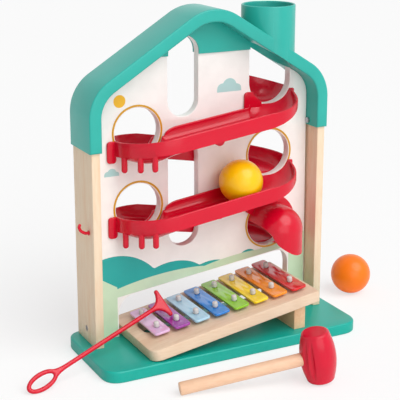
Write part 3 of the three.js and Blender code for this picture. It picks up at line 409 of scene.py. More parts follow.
def combine(base, other, operation):
    """The union, difference or intersection of two objects, in place of both."""
    change = base.modifiers.new(operation, "BOOLEAN")
    change.operation = operation
    change.solver = "EXACT"
    change.object = other
    result = baked(base)
    bpy.data.objects.remove(other)
    return result


def move(shown, matrix):
    shown.data.transform(matrix)
    return shown


def at(x, y, z):
    return Matrix.Translation(Vector((x, y, z)) * MM)


# Lines and outlines
def arc(x, y, radius, start, end, steps):
    angles = np.linspace(start, end, steps + 1)
    return [(x + radius * math.cos(a), y + radius * math.sin(a)) for a in angles]


def circle(x, y, radius, steps=64):
    return arc(x, y, radius, 0, FULL, steps)[:-1]


def oval(long, short, start, end, count):
    return [(long * math.cos(a), short * math.sin(a)) for a in np.linspace(start, end, count)]


def stadium(x, radius, foot, top, steps=32):
    ends = arc(x, top - radius, radius, 0, math.pi, steps)
    return ends + arc(x, foot + radius, radius, math.pi, FULL, steps)


def bend(start, turn, end, count=10):
    """Points of a curve from a start to an end, drawn towards a turning point."""
    start, turn, end = Vector(start), Vector(turn), Vector(end)
    line = []
    for t in np.linspace(0, 1, count):
        line.append(tuple(start * (1 - t) ** 2 + turn * 2 * t * (1 - t) + end * t ** 2))
    return line


def curve_through(points, steps=8):
    """A smooth line through points."""
    line = []
    points = [Vector(p) for p in points]
    for i in range(len(points) - 1):
        before = points[max(i - 1, 0)]
        after = points[min(i + 2, len(points) - 1)]
        start, end = points[i], points[i + 1]
        for t in np.linspace(0, 1, steps, endpoint=False):
            straight = 2 * start + (end - before) * t
            squared = (2 * before - 5 * start + 4 * end - after) * t ** 2
            cubed = (3 * start - before - 3 * end + after) * t ** 3
            line.append(tuple(0.5 * (straight + squared + cubed)))
    return line + [tuple(points[-1])]


def rounded(corners, steps=10):
    """Corners, each x, y and radius, joined with their corners drawn as curves."""
    outline = []
    for i, (x, y, radius) in enumerate(corners):
        if radius == 0:
            outline.append((x, y))
            continue
        corner = Vector((x, y))
        before = Vector(corners[i - 1][:2]) - corner
        after = Vector(corners[(i + 1) % len(corners)][:2]) - corner
        start = corner + before.normalized() * radius
        end = corner + after.normalized() * radius
        outline += bend(start, corner, end, steps + 1)
    return outline


def rectangle(x0, x1, y0, y1, radius, steps=10):
    return rounded([(x0, y0, radius), (x1, y0, radius), (x1, y1, radius), (x0, y1, radius)], steps)


def roof_path(inset, foot, steps=24):
    """The gable line from the right foot over the apex to the left foot."""
    side = ROOF_HALF - inset
    lean = QUARTER - ROOF_PITCH
    path = [(side, foot)]
    path += arc(EAVE_X, EAVE_Z, EAVE_RADIUS - inset, 0, lean, steps)
    path += arc(0, APEX_Z, APEX_RADIUS - inset, lean, math.pi - lean, steps)
    path += arc(-EAVE_X, EAVE_Z, EAVE_RADIUS - inset, math.pi - lean, math.pi, steps)
    return path + [(-side, foot)]


# Boards
def turning(outline):
    """Above zero where an outline runs anticlockwise."""
    return sum(a[0] * b[1] - b[0] * a[1] for a, b in zip(outline, outline[1:] + outline[:1]))


def plate(name, outlines, low, high, edge=0.0, steps=2):
    """Outlines in X and Y, the first filled and the others cut out of it, from low to high."""
    curve = bpy.data.curves.new(name, "CURVE")
    curve.dimensions = "2D"
    curve.fill_mode = "BOTH"
    curve.extrude = ((high - low) / 2 - edge) * MM
    curve.bevel_depth = edge * MM
    curve.bevel_resolution = steps
    curve.offset = -edge * MM
    for i, outline in enumerate(outlines):
        if (turning(outline) > 0) == (i == 0):
            outline = outline[::-1]
        spline = curve.splines.new("POLY")
        spline.points.add(len(outline) - 1)
        for point, (x, y) in zip(spline.points, outline):
            point.co = (x * MM, y * MM, 0, 1)
        spline.use_cyclic_u = True
    drawn = bpy.data.objects.new(name, curve)
    bpy.context.collection.objects.link(drawn)
    shown = baked(drawn)
    return move(shown, at(0, 0, (low + high) / 2))


UPRIGHT = Matrix.Rotation(QUARTER, 4, "X")


def slab(name, outlines, front, back, edge=0.0, steps=2):
    """Outlines in X and Z, from a front to a back depth."""
    return move(plate(name, outlines, -back, -front, edge, steps), UPRIGHT)


# Round and swept forms
def around(steps):
    return [FULL * i / steps for i in range(steps)]


def ring(radius, height, steps):
    return [(radius * math.cos(a), radius * math.sin(a), height) for a in around(steps)]


def turned(name, profile, steps):
    """A profile of radius and height about the Z axis, starting and ending on it."""
    points = []
    faces = []
    rows = []
    for radius, height in profile:
        if radius == 0:
            rows.append([len(points)] * steps)
            points.append((0, 0, height))
            continue
        rows.append(list(range(len(points), len(points) + steps)))
        points += ring(radius, height, steps)
    for low, high in zip(rows, rows[1:]):
        for i in range(steps):
            j = (i + 1) % steps
            face = []
            for corner in (low[i], low[j], high[j], high[i]):
                if corner not in face:
                    face.append(corner)
            if len(face) > 2:
                faces.append(face)
    return piece(name, points, faces)


def loft(name, points, count, smooth_angle):
    """A skin over rings of points, so many in each ring, with both ends filled."""
    faces = []
    last = len(points) - count
    for low in range(0, last, count):
        high = low + count
        for i in range(count):
            j = (i + 1) % count
            faces.append([low + i, low + j, high + j, high + i])
    faces += [list(range(count))[::-1], list(range(last, last + count))]
    return piece(name, points, faces, smooth_angle)


def bar_profile(radius, low, high, edge, steps=4):
    """A round bar's profile with both ends eased."""
    turns = np.linspace(0, QUARTER, steps + 1)
    foot = [(radius - edge + edge * math.sin(a), low + edge - edge * math.cos(a)) for a in turns]
    head = [(radius - edge + edge * math.cos(a), high - edge + edge * math.sin(a)) for a in turns]
    return [(0, low)] + foot + head + [(0, high)]


def bar(name, radius, start, end, edge, steps=40):
    start = Vector(start)
    along = Vector(end) - start
    shown = turned(name, bar_profile(radius, 0, along.length, edge), steps)
    turn = Vector((0, 0, 1)).rotation_difference(along).to_matrix().to_4x4()
    return move(shown, at(*start) @ turn)


def ball(name, radius, x, y, z, cuts=24):
    """A ball whose faces are spread evenly, from a cube drawn out to the sphere."""
    work = bmesh.new()
    bmesh.ops.create_cube(work, size=2)
    bmesh.ops.subdivide_edges(work, edges=work.edges, cuts=cuts, use_grid_fill=True)
    for vert in work.verts:
        spread = Vector([math.tan(c * math.pi / 4) for c in vert.co])
        vert.co = spread.normalized() * radius * MM + Vector((x, y, z)) * MM
    mesh = bpy.data.meshes.new(name)
    work.to_mesh(mesh)
    work.free()
    return finish_mesh(name, mesh)


def tube(name, path, radius, steps=16):
    """A round rod along points, with domed ends."""
    path = [Vector(p) for p in path]
    tangents = []
    for i in range(len(path)):
        tangents.append((path[min(i + 1, len(path) - 1)] - path[max(i - 1, 0)]).normalized())
    dome = [(math.sin(a), math.cos(a)) for a in np.linspace(HOOK_DOME_START, QUARTER, 5)[:-1]]
    stations = [(path[0] - tangents[0] * c * radius, tangents[0], s * radius) for s, c in dome]
    stations += [(p, t, radius) for p, t in zip(path, tangents)]
    stations += [(path[-1] + tangents[-1] * c * radius, tangents[-1], s * radius) for s, c in dome[::-1]]
    side = stations[0][1].orthogonal().normalized()
    points = []
    for place, tangent, reach in stations:
        side = (side - tangent * side.dot(tangent)).normalized()
        up = tangent.cross(side)
        for angle in around(steps):
            points.append(place + (side * math.cos(angle) + up * math.sin(angle)) * reach)
    return loft(name, points, steps, TUBE_SMOOTH)


# Tracks: heights are from the middle of the hole that the ball comes through
def run_slope(entry_drop):
    return (ENTRY_FLOOR - EXIT_FLOOR - entry_drop - EXIT_DROP) / (2 * TURN_X)


def straight_floor(entry_drop, x):
    return ENTRY_FLOOR - entry_drop - run_slope(entry_drop) * (TURN_X - x)


def turn_drop(entry_drop, share, drop):
    """How far the floor falls over a share of a turn that falls by a drop and meets the slope smoothly."""
    even = run_slope(entry_drop) * TURN_RADIUS * math.pi / 2
    return even * share + (drop - even) * share * share


def track_section(back, scoop=0.0, dip=0.0, belly=0.0):
    """Across and up: a dished trough with rounded rims."""
    lift = scoop * TRACK_HEIGHT
    rim = TRACK_HEIGHT - dip
    shares = np.linspace(0, 1, 9)
    half = TRACK_WALL / 2
    middle = TRACK_HALF + half

    def under(a, up):
        hang = belly * (1 - BELLY_FADE * a ** UNDER_POWER)
        return TRACK_WALL * (UNDER_RISE * a ** UNDER_POWER - 1) + SCOOP_UNDER * up * a * a - hang

    def floor(a, up):
        return TRACK_DISH * (DISH_SPREAD * a * a + DISH_RIM * a ** DISH_POWER) + SCOOP_FLOOR * up * a * a

    points = [(-a * TRACK_OUTER, under(a, 0)) for a in shares[::-1]]
    points += [(a * TRACK_OUTER, under(a, lift)) for a in shares[1:]]
    points += arc(middle, rim - half, half, 0, math.pi, 8)
    points += [(a * TRACK_HALF, floor(a, lift)) for a in shares[::-1]]
    points += [(-a * TRACK_HALF, floor(a, 0)) for a in shares[1:]]
    points += arc(-middle, back - half, half, 0, math.pi, 8)
    return points


def track_stations(entry_drop, steps=22):
    """Places, outward directions and sections along the entry turn, the straight and the exit turn."""
    stations = []
    for share in np.linspace(0, 1, steps + 1):
        angle = share * math.pi / 2
        scoop = 1 - share
        outward = Vector((math.cos(angle), -math.sin(angle), 0))
        place = Vector((TURN_X, -MOUNT_FACE, 0)) + outward * TURN_RADIUS
        place.z = straight_floor(entry_drop, TURN_X) + turn_drop(entry_drop, scoop, entry_drop)
        stations.append((place, outward, track_section(TRACK_BACK, scoop, ENTRY_DIP * scoop)))
    south = Vector((0, -1, 0))
    taper = [TAPER_START - TAPER_LENGTH * s for s in np.linspace(0, 1, TAPER_STEPS + 1)]
    for x in STRAIGHT_STATIONS + taper:
        share = min(max((TAPER_START - x) / TAPER_LENGTH, 0), 1)
        back = TRACK_LOW + (TRACK_BACK - TRACK_LOW) * math.sqrt(1 - share * share)
        place = Vector((x, -MOUNT_FACE - TURN_RADIUS, straight_floor(entry_drop, x)))
        stations.append((place, south, track_section(back)))
    for share in np.linspace(0, 1, steps + 1):
        angle = share * math.pi / 2
        bulge = math.sin(share * math.pi)
        outward = Vector((-math.sin(angle), -math.cos(angle), 0))
        place = Vector((-TURN_X, -MOUNT_FACE, 0)) + outward * TURN_RADIUS
        place.z = straight_floor(entry_drop, -TURN_X) - turn_drop(entry_drop, share, EXIT_DROP)
        section = track_section(TRACK_LOW, 0, EXIT_DIP * bulge, EXIT_BELLY * bulge)
        stations.append((place, outward, section))
    return stations


def trough(name, stations):
    points = []
    for place, outward, section in stations:
        points += [place + outward * across + Vector((0, 0, up)) for across, up in section]
    return loft(name, points, len(stations[0][2]), TRACK_SMOOTH)


def entry_corner(entry_drop, entry_top):
    """The plate beside the entry, cut round for the ball's way through the hole."""
    left = TURN_X - CORNER_REACH
    inner = HOLE_X - TRACK_HALF
    straight = straight_floor(entry_drop, TURN_X)
    lip_foot = ENTRY_FLOOR - TRACK_WALL
    lip_end = TURN_X + LIP_REACH
    way_foot = -math.acos((HOLE_X - lip_end) / TRACK_HALF)
    way_top = math.asin(entry_top / TRACK_HALF)
    outline = [(lip_end, lip_foot)]
    for a in np.linspace(way_foot, way_top, 16):
        outline.append((HOLE_X - TRACK_HALF * math.cos(a), TRACK_HALF * math.sin(a)))
    for a in np.linspace(0, QUARTER, 8):
        outline.append((left + TAB_CORNER * (1 - math.sin(a)), entry_top - TAB_CORNER * (1 - math.cos(a))))
    return outline + [(left, straight), (inner, straight), (inner, lip_foot)]


def track(name, start_z, rear):
    """A moulding: its trough, the plates against the panel, the fingers at its turn and its screw boss."""
    entry_drop = REAR_ENTRY_DROP if rear else FRONT_ENTRY_DROP
    boss_x = -TRACK_BOSS_X if rear else TRACK_BOSS_X
    back = -MOUNT_FACE
    front = back - TRACK_WALL
    entry_top = ENTRY_FLOOR + TRACK_HEIGHT - ENTRY_DIP
    wall = HOLE_X + TRACK_HALF
    outside = wall + TRACK_WALL
    exit_tab = rectangle(-outside - EXIT_TAB_WIDTH, -wall - EXIT_TAB_LAP,
                         EXIT_FLOOR - EXIT_TAB_DROP, EXIT_FLOOR + TRACK_HEIGHT, TAB_CORNER)
    entry_tab = rectangle(wall + ENTRY_TAB_LAP, outside + ENTRY_TAB_WIDTH,
                          entry_top - ENTRY_TAB_DROP, entry_top, ENTRY_TAB_CORNER)
    made = [trough(name, track_stations(entry_drop))]
    made.append(slab("corner", [entry_corner(entry_drop, entry_top)], front, back, PLATE_EDGE))
    made.append(slab("exit", [exit_tab], front, back, EXIT_TAB_EDGE))
    made.append(slab("entry", [entry_tab], front, back, PLATE_EDGE))
    reach = TURN_RADIUS + TRACK_OUTER - RIB_RADIUS
    for share in RIB_SHARES:
        angle = share * math.pi / 2
        floor = straight_floor(entry_drop, -TURN_X) - turn_drop(entry_drop, share, EXIT_DROP)
        low = floor - RIB_REACH - 2 * RIB_RADIUS
        profile = bar_profile(RIB_RADIUS, low, floor + RIB_HEIGHT, RIB_RADIUS * RIB_DOME, steps=8)
        rib_at = at(-TURN_X - reach * math.sin(angle), -MOUNT_FACE - reach * math.cos(angle), 0)
        made.append(move(turned("rib", profile, steps=24), rib_at))
    boss_top = straight_floor(entry_drop, boss_x) - TRACK_BOSS_RADIUS + TRACK_BOSS_LIFT
    for boss_z in (boss_top, boss_top - TRACK_BOSS_DROP):
        boss_from = (boss_x, back, boss_z)
        boss_to = (boss_x, back - TRACK_BOSS_LENGTH, boss_z)
        made.append(bar("boss", TRACK_BOSS_RADIUS, boss_from, boss_to, BOSS_EDGE))
    whole = join(name, made, TRACK_SMOOTH)
    turn = Matrix.Rotation(math.pi if rear else 0, 4, "Z")
    return move(whole, at(0, 0, start_z) @ turn)


# Materials
SHEEN = 0.3
COAT_ROUGHNESS = 0.08
MIX_FIRST = 6
MIX_SECOND = 7
MIX_RESULT = 2


def linear(red, green, blue):
    """A colour from its sRGB bytes, by the curve of that standard."""
    def one(value):
        share = value / 255
        return share / 12.92 if share <= 0.04045 else ((share + 0.055) / 1.055) ** 2.4
    return (one(red), one(green), one(blue), 1)


def shade(colour, factor):
    return (colour[0] * factor, colour[1] * factor, colour[2] * factor, 1)


def set_inputs(node, values):
    for word, value in values.items():
        node.inputs[word].default_value = value
    return node


class Look:
    """A Principled material whose colour, roughness and bump come from procedural nodes."""

    def __init__(self, name, roughness, coat=0.0, metallic=0.0):
        self.material = bpy.data.materials.new(name)
        self.material.use_nodes = True
        self.nodes = self.material.node_tree.nodes
        self.links = self.material.node_tree.links
        self.shader = self.nodes["Principled BSDF"]
        set_inputs(self.shader, {"Metallic": metallic, "Roughness": roughness, "Specular IOR Level": SHEEN})
        set_inputs(self.shader, {"Coat Weight": coat, "Coat Roughness": COAT_ROUGHNESS})
        self.place = self.nodes.new("ShaderNodeTexCoord").outputs["Object"]

    def stretch(self, scales):
        node = set_inputs(self.nodes.new("ShaderNodeMapping"), {"Scale": scales})
        self.links.new(self.place, node.inputs["Vector"])
        return node.outputs["Vector"]

    def noise(self, scale, detail, vector=None, distortion=0.0):
        values = {"Scale": scale, "Detail": detail, "Distortion": distortion}
        node = set_inputs(self.nodes.new("ShaderNodeTexNoise"), values)
        self.links.new(vector or self.place, node.inputs["Vector"])
        return node.outputs["Fac"]

    def ramp(self, value, stops):
        """Colours along a value, each stop a place and a colour."""
        node = self.nodes.new("ShaderNodeValToRGB")
        ramp = node.color_ramp
        while len(ramp.elements) < len(stops):
            ramp.elements.new(0.5)
        for element, (place, colour) in zip(ramp.elements, stops):
            element.position = place
            element.color = colour
        self.links.new(value, node.inputs["Fac"])
        return node.outputs["Color"]

    def mix(self, share, first, second):
        node = self.nodes.new("ShaderNodeMix")
        node.data_type = "RGBA"
        node.inputs[0].default_value = share
        self.links.new(first, node.inputs[MIX_FIRST])
        self.links.new(second, node.inputs[MIX_SECOND])
        return node.outputs[MIX_RESULT]

    def colour(self, value):
        self.links.new(value, self.shader.inputs["Base Color"])

    def rough(self, value, low, high):
        node = set_inputs(self.nodes.new("ShaderNodeMapRange"), {"To Min": low, "To Max": high})
        self.links.new(value, node.inputs["Value"])
        self.links.new(node.outputs["Result"], self.shader.inputs["Roughness"])

    def bump(self, value, strength, distance):
        values = {"Strength": strength, "Distance": distance * MM}
        node = set_inputs(self.nodes.new("ShaderNodeBump"), values)
        self.links.new(value, node.inputs["Height"])
        self.links.new(node.outputs["Normal"], self.shader.inputs["Normal"])


def plastic(name, colour, roughness, coat):
    look = Look(name, roughness, coat)
    cloudy = look.noise(scale=28, detail=2)
    grain = look.noise(scale=2600, detail=2)
    look.colour(look.ramp(cloudy, [(0.3, shade(colour, 0.93)), (0.7, colour)]))
    look.rough(grain, low=roughness - 0.05, high=roughness + 0.05)
    look.bump(grain, strength=0.12, distance=0.05)
    return look.material


def paint(name, colour, roughness=0.38, coat=0.15, peel=0.1):
    look = Look(name, roughness, coat)
    cloudy = look.noise(scale=60, detail=4)
    orange_peel = look.noise(scale=900, detail=2)
    look.colour(look.ramp(cloudy, [(0.25, shade(colour, 0.92)), (0.75, colour)]))
    look.rough(cloudy, low=roughness - 0.06, high=roughness + 0.06)
    look.bump(orange_peel, strength=peel, distance=0.06)
    return look.material


def wood(name, light, dark, scales):
    """Wood whose grain runs along the axis with the smallest scale."""
    look = Look(name, roughness=0.5, coat=0.12)
    along = look.stretch(scales)
    rings = look.noise(scale=34, detail=4, vector=along, distortion=0.7)
    fibre = look.noise(scale=420, detail=3, vector=along)
    broad = look.ramp(rings, [(0.3, dark), (0.5, light), (0.68, shade(light, 0.97)), (0.8, dark)])
    fine = look.ramp(fibre, [(0.3, dark), (0.6, light)])
    look.colour(look.mix(0.35, broad, fine))
    look.rough(fibre, low=0.42, high=0.6)
    look.bump(fibre, strength=0.18, distance=0.08)
    return look.material


def steel(name):
    look = Look(name, roughness=0.3, metallic=1.0)
    brush = look.noise(scale=700, detail=3)
    look.colour(look.ramp(brush, [(0.3, linear(150, 150, 155)), (0.7, linear(205, 205, 210))]))
    look.rough(brush, low=0.22, high=0.38)
    return look.material


ROOF = plastic("roof_plastic", linear(46, 176, 163), roughness=0.34, coat=0.12)
RED = plastic("red_plastic", linear(212, 6, 42), roughness=0.24, coat=0.15)
POST_WOOD = wood("post_wood", linear(236, 214, 186), linear(226, 184, 142), (1, 1, 0.12))
BOARD_WOOD = wood("board_wood", linear(230, 206, 180), linear(210, 176, 142), (0.12, 1, 1))
RISER_WOOD = wood("riser_wood", linear(240, 200, 160), linear(220, 168, 126), (1, 0.12, 1))
HANDLE_WOOD = wood("handle_wood", linear(236, 196, 164), linear(218, 172, 136), (0.12, 0.6, 1))
BASE_PAINT = paint("base_paint", linear(4, 168, 152), roughness=0.36, coat=0.12)
PANEL_WHITE = paint("panel_white", linear(251, 248, 244), roughness=0.34, coat=0.2)
YELLOW = paint("yellow_paint", linear(255, 198, 6), roughness=0.32, coat=0.2)
ORANGE = paint("orange_paint", linear(252, 122, 6), roughness=0.34, coat=0.12)
RED_PAINT = paint("red_paint", linear(212, 4, 46), roughness=0.24, coat=0.15)
STEEL = steel("screw_steel")
PIN = plastic("pin_plastic", linear(208, 204, 200), roughness=0.24, coat=0.4)
GOLD = paint("print_gold", linear(216, 160, 30), roughness=0.4, coat=0.1)
HILL = paint("print_teal", linear(38, 172, 166))
MIST = paint("print_mist", linear(176, 216, 214))
SUN = paint("print_sun", linear(246, 188, 40))
GROUND = paint("print_green", linear(206, 230, 198))
BAR_RGB = {
    "lilac": (228, 186, 228),
    "purple": (160, 62, 168),
    "light_blue": (172, 216, 240),
    "blue": (24, 132, 222),
    "green": (140, 206, 30),
    "yellow": (255, 222, 0),
    "orange": (255, 150, 10),
    "red": (224, 20, 30),
}
BAR_WORDS = list(BAR_RGB)
BAR_PAINT = [paint(f"bar_{w}", linear(*BAR_RGB[w]), roughness=0.18, coat=0.8, peel=0.015) for w in BAR_WORDS]


def dress(shown, material, body, nodes=()):
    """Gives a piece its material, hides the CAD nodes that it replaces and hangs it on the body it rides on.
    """
    shown.data.materials.clear()
    shown.data.materials.append(material)
    if nodes:
        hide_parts(*nodes)
    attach(shown, body)


# Base board and posts
base_outline = rectangle(-BASE_HALF, BASE_HALF, -BASE_FRONT, BASE_BACK, BASE_CORNER, steps=16)
base = plate("base", [base_outline], 0, BASE_TOP, BASE_EDGE, steps=4)
dress(base, BASE_PAINT, "frame", ["base_board"])

for side in ("left", "right"):
    low, high = (Vector(corner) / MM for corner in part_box(f"{side}_post"))
    post_outline = rectangle(low.x, high.x, low.y, high.y, POST_EDGE, steps=4)
    post = plate(f"{side}_post_board", [post_outline], low.z, high.z, POST_EDGE * POST_EASE)
    dress(post, POST_WOOD, "frame", [f"{side}_post"])

# Roof: a smooth band with its chimney, and two gable webs
band_outline = roof_path(0, ROOF_FOOT) + roof_path(ROOF_BAND, ROOF_FOOT)[::-1]
band = slab("roof", [band_outline], -ROOF_HALF_DEPTH, ROOF_HALF_DEPTH, ROOF_EDGE, steps=4)
flue_profile = bar_profile(CHIMNEY_RADIUS, FLUE_FOOT, CHIMNEY_TOP, CHIMNEY_LIP, steps=6)
flue = move(turned("flue", flue_profile, CHIMNEY_STEPS), at(HOLE_X, 0, 0))
attic = slab("attic", [roof_path(ROOF_BAND - FLUE_LAP, ROOF_FOOT)], -ATTIC_DEPTH, ATTIC_DEPTH)
band = combine(band, combine(flue, attic, "DIFFERENCE"), "UNION")
bore_profile = [(0, EAVE_Z), (CHIMNEY_BORE, EAVE_Z)]
for a in np.linspace(0, QUARTER, 6):
    flare = CHIMNEY_LIP * (1 - math.cos(a))
    bore_profile.append((CHIMNEY_BORE + flare, CHIMNEY_TOP - CHIMNEY_LIP * (1 - math.sin(a))))
bore_end = CHIMNEY_TOP + CUT_MARGIN
bore_profile += [(CHIMNEY_BORE + CHIMNEY_LIP, bore_end), (0, bore_end)]
bore = move(turned("bore", bore_profile, CHIMNEY_STEPS), at(HOLE_X, 0, 0))
band = combine(band, bore, "DIFFERENCE")
right = HOLE_X - HOLE_RADIUS
slope_z = APEX_Z + (APEX_RADIUS - ROOF_BAND - right * math.sin(ROOF_PITCH)) / math.cos(ROOF_PITCH)
foot_x = (APEX_RADIUS - ROOF_BAND - (GABLE_EDGE - APEX_Z) * math.cos(ROOF_PITCH)) / math.sin(ROOF_PITCH)
gable_line = roof_path(ROOF_BAND - GABLE_LAP, GABLE_EDGE)
gable = [(right, GABLE_EDGE), (right, slope_z)]
gable += [(x, z) for x, z in gable_line if z > GABLE_EDGE and x < right]
gable.append((-foot_x, GABLE_EDGE))
upper_slot = stadium(SLOT_X, SLOT_RADIUS, *UPPER_SLOT)
lower_slot = stadium(SLOT_X, SLOT_RADIUS, *LOWER_SLOT)
webs = []
for front in (-MOUNT_FACE - GABLE_WALL, MOUNT_FACE):
    back = front + GABLE_WALL
    web = slab("gable", [gable], front, back, GABLE_EASE)
    slot_cut = slab("slot", [upper_slot], front - CUT_MARGIN, back + CUT_MARGIN)
    webs.append(combine(web, slot_cut, "DIFFERENCE"))
roof = join("roof", [band] + webs)
dress(roof, ROOF, "frame", ["roof_front_shell", "roof_rear_shell"])

# Play panel
panel_outline = [(PANEL_SIDE, BASE_TOP)]
for x, z in roof_path(ROOF_BAND + PANEL_GAP, ROOF_FOOT):
    panel_outline.append((min(max(x, -PANEL_SIDE), PANEL_SIDE), z))
panel_outline.append((-PANEL_SIDE, BASE_TOP))
hole_places = []
for i in range(1, HOLE_COUNT + 1):
    hole_places.append((-HOLE_X if i % 2 == 1 else HOLE_X, TOP_HOLE_Z - i * RUN_DROP))
cuts = [circle(x, z, HOLE_RADIUS) for x, z in hole_places] + [upper_slot, lower_slot]
panel = slab("panel", [panel_outline] + cuts, -PANEL_FACE, PANEL_FACE, PANEL_EDGE)
window_foot = BASE_TOP - WINDOW_SINK
window_top = WINDOW_HEAD + (WINDOW_RIGHT - WINDOW_LEFT) * math.tan(WINDOW_SLOPE)
window = [(WINDOW_LEFT, window_foot, 0), (WINDOW_RIGHT, window_foot, 0)]
window += [(WINDOW_RIGHT, window_top, WINDOW_CORNER), (WINDOW_LEFT, WINDOW_HEAD, WINDOW_CORNER)]
window_cut = slab("window", [rounded(window, steps=14)], -CUT_DEPTH, CUT_DEPTH)
panel = combine(panel, window_cut, "DIFFERENCE")
notch = stadium(HOLE_X, HOLE_RADIUS, TOP_HOLE_Z - HOLE_RADIUS, NOTCH_TOP)
panel = combine(panel, slab("notch", [notch], -CUT_DEPTH, CUT_DEPTH), "DIFFERENCE")
dress(panel, PANEL_WHITE, "frame", ["play_panel"])


# Print on the panel: thin layers on its front face
def print_layer(name, outline, material, layer=0, holes=()):
    back = -PANEL_FACE - LAYER_THICK * layer
    dress(slab(name, [outline, *holes], back - LAYER_THICK, back), material, "frame")


def window_edge(x, up):
    return WINDOW_HEAD + (x - WINDOW_LEFT) * math.tan(WINDOW_SLOPE) + up


def hills(left, right, crests, steps=72):
    """Ground from the window's edge up to a line of round crests."""
    line = [(right, window_edge(right, CREST_FOOT))]
    for x in np.linspace(left, right, steps)[::-1]:
        rise = 0
        for middle, half, height in crests:
            rise = max(rise, height * max(0, 1 - ((x - middle) / half) ** 2) ** CREST_POWER)
        line.append((x, window_edge(x, CREST_START + rise)))
    return line + [(left, window_edge(left, CREST_FOOT))]


def leg_ground(left, right, rises):
    """Ground on a leg of the panel, with its top at two rises over the window's head."""
    foot = BASE_TOP + PRINT_EDGE
    left_top, right_top = (WINDOW_HEAD + rise for rise in rises)
    return [(left, foot), (right, foot), (right, right_top), (left, left_top)]


def cloud(x, z, size):
    """A plain cloud: a flat foot under three round heads."""
    line = [(x + size * CLOUD_RIGHT, z - CLOUD_FOOT)]
    for across in np.linspace(CLOUD_LEFT, CLOUD_RIGHT, 60)[::-1]:
        lift = 0
        for middle, up, radius in CLOUD_HEADS:
            off = abs(across - middle)
            if off < radius:
                lift = max(lift, up + math.sqrt(radius * radius - off * off))
        line.append((x + size * across, z + size * lift))
    return line + [(x + size * CLOUD_LEFT, z - CLOUD_FOOT)]


print_left = PRINT_EDGE - PANEL_SIDE
print_right = PANEL_SIDE - PRINT_EDGE
near_left = WINDOW_LEFT - PRINT_EDGE
near_right = WINDOW_RIGHT + PRINT_EDGE
for i, (x, z) in enumerate(hole_places):
    inside = circle(x, z, RING_INNER)
    print_layer(f"hole_ring_{i + 1}", circle(x, z, RING_OUTER), GOLD, RING_LAYER, [inside])
print_layer("far_hills", hills(print_left, FAR_END, FAR_CRESTS), HILL)
print_layer("side_hill", hills(*SIDE_SPAN, SIDE_CRESTS), HILL)
print_layer("near_ground", hills(near_left, near_right, NEAR_CRESTS), GROUND, layer=1)
print_layer("left_ground", leg_ground(print_left, near_left, LEFT_LEG_RISE), GROUND, layer=1)
print_layer("right_ground", leg_ground(near_right, print_right, RIGHT_LEG_RISE), GROUND, layer=1)
for name, place in CLOUDS.items():
    print_layer(name, cloud(*place), MIST)
print_layer("sun_disc", circle(*SUN_DISC), SUN)

# Tracks, with the rear ones turned half round
for i, name in enumerate(TRACK_NAMES):
    moulding = track(f"{name}_moulding", TOP_HOLE_Z - i * RUN_DROP, rear=i % 2 == 1)
    dress(moulding, RED, "frame", [name])


# Funnel: half a hollow cup behind the panel, cut off at a sloping rim, with an ear on each side
def cup(name, radius):
    """A ball with a round collar on its upper half."""
    middle = (HOLE_X, MOUNT_FACE, TOP_HOLE_Z)
    collar_top = (HOLE_X, MOUNT_FACE, TOP_HOLE_Z + 2 * BOWL_RIM_LIFT)
    collar = bar("collar", radius, middle, collar_top, KEEN_EDGE, FINE_STEPS)
    return combine(ball(name, radius, *middle, BOWL_CUTS), collar, "UNION")


bowl = cup("bowl", BOWL_OUTER)
ear_end = BOWL_OUTER + EAR_WIDTH
ear_outline = rectangle(HOLE_X - ear_end, HOLE_X + ear_end, TOP_HOLE_Z - EAR_HEIGHT, TOP_HOLE_Z, EAR_CORNER)
ears = slab("ears", [ear_outline], MOUNT_FACE, MOUNT_FACE + EAR_THICK, EAR_EDGE)
bowl = combine(bowl, ears, "UNION")
bowl = combine(bowl, cup("hollow", BOWL_RADIUS), "DIFFERENCE")
keep = slab("keep", [rectangle(-ear_end, FAR, -FAR, 0, 0)], 0, FAR)
keep_at = at(HOLE_X - BOWL_RADIUS, MOUNT_FACE, TOP_HOLE_Z + BOWL_RIM_LIFT)
keep = move(keep, keep_at @ Matrix.Rotation(BOWL_RIM_TILT, 4, "Y"))
bowl = combine(bowl, keep, "INTERSECT")
dress(bowl, RED, "frame", ["entry_funnel"])


# Chute: a hollow elbow over the lowest hole, cut off below its lip
def elbow(name, radius, back):
    """A pipe that comes forward from a depth and turns down."""
    y = -MOUNT_FACE - CHUTE_RADIUS
    middle = (HOLE_X, y, EXIT_HOLE_Z)
    foot = (HOLE_X, y, EXIT_HOLE_Z - 2 * CHUTE_OUTER)
    whole = ball(name, radius, *middle, CHUTE_CUTS)
    pipe = bar("pipe", radius, (HOLE_X, back, EXIT_HOLE_Z), middle, KEEN_EDGE, FINE_STEPS)
    drop = bar("drop", radius, middle, foot, KEEN_EDGE, FINE_STEPS)
    return combine(combine(whole, pipe, "UNION"), drop, "UNION")


chute = combine(elbow("chute", CHUTE_OUTER, -MOUNT_FACE), elbow("inside", CHUTE_RADIUS, 0), "DIFFERENCE")
lip = curve_through([(HOLE_X + x * CHUTE_OUTER, EXIT_HOLE_Z + z * CHUTE_OUTER) for x, z in LIP_SHARES])
lip_below = EXIT_HOLE_Z - 3 * CHUTE_OUTER
lip += [(lip[-1][0], lip_below), (lip[0][0], lip_below)]
chute = combine(chute, slab("lip", [lip], -CUT_FRONT, CUT_BACK), "DIFFERENCE")
behind = slab("behind", [rectangle(0, FAR, 0, FAR, 0)], -MOUNT_FACE, CUT_BACK)
chute = combine(chute, behind, "DIFFERENCE")
boss_z = EXIT_HOLE_Z + CHUTE_OUTER + CHUTE_BOSS_RISE
boss_end = (HOLE_X, -MOUNT_FACE - CHUTE_BOSS_LENGTH, boss_z)
boss = bar("boss", CHUTE_BOSS_RADIUS, (HOLE_X, -MOUNT_FACE, boss_z), boss_end, BOSS_EDGE)
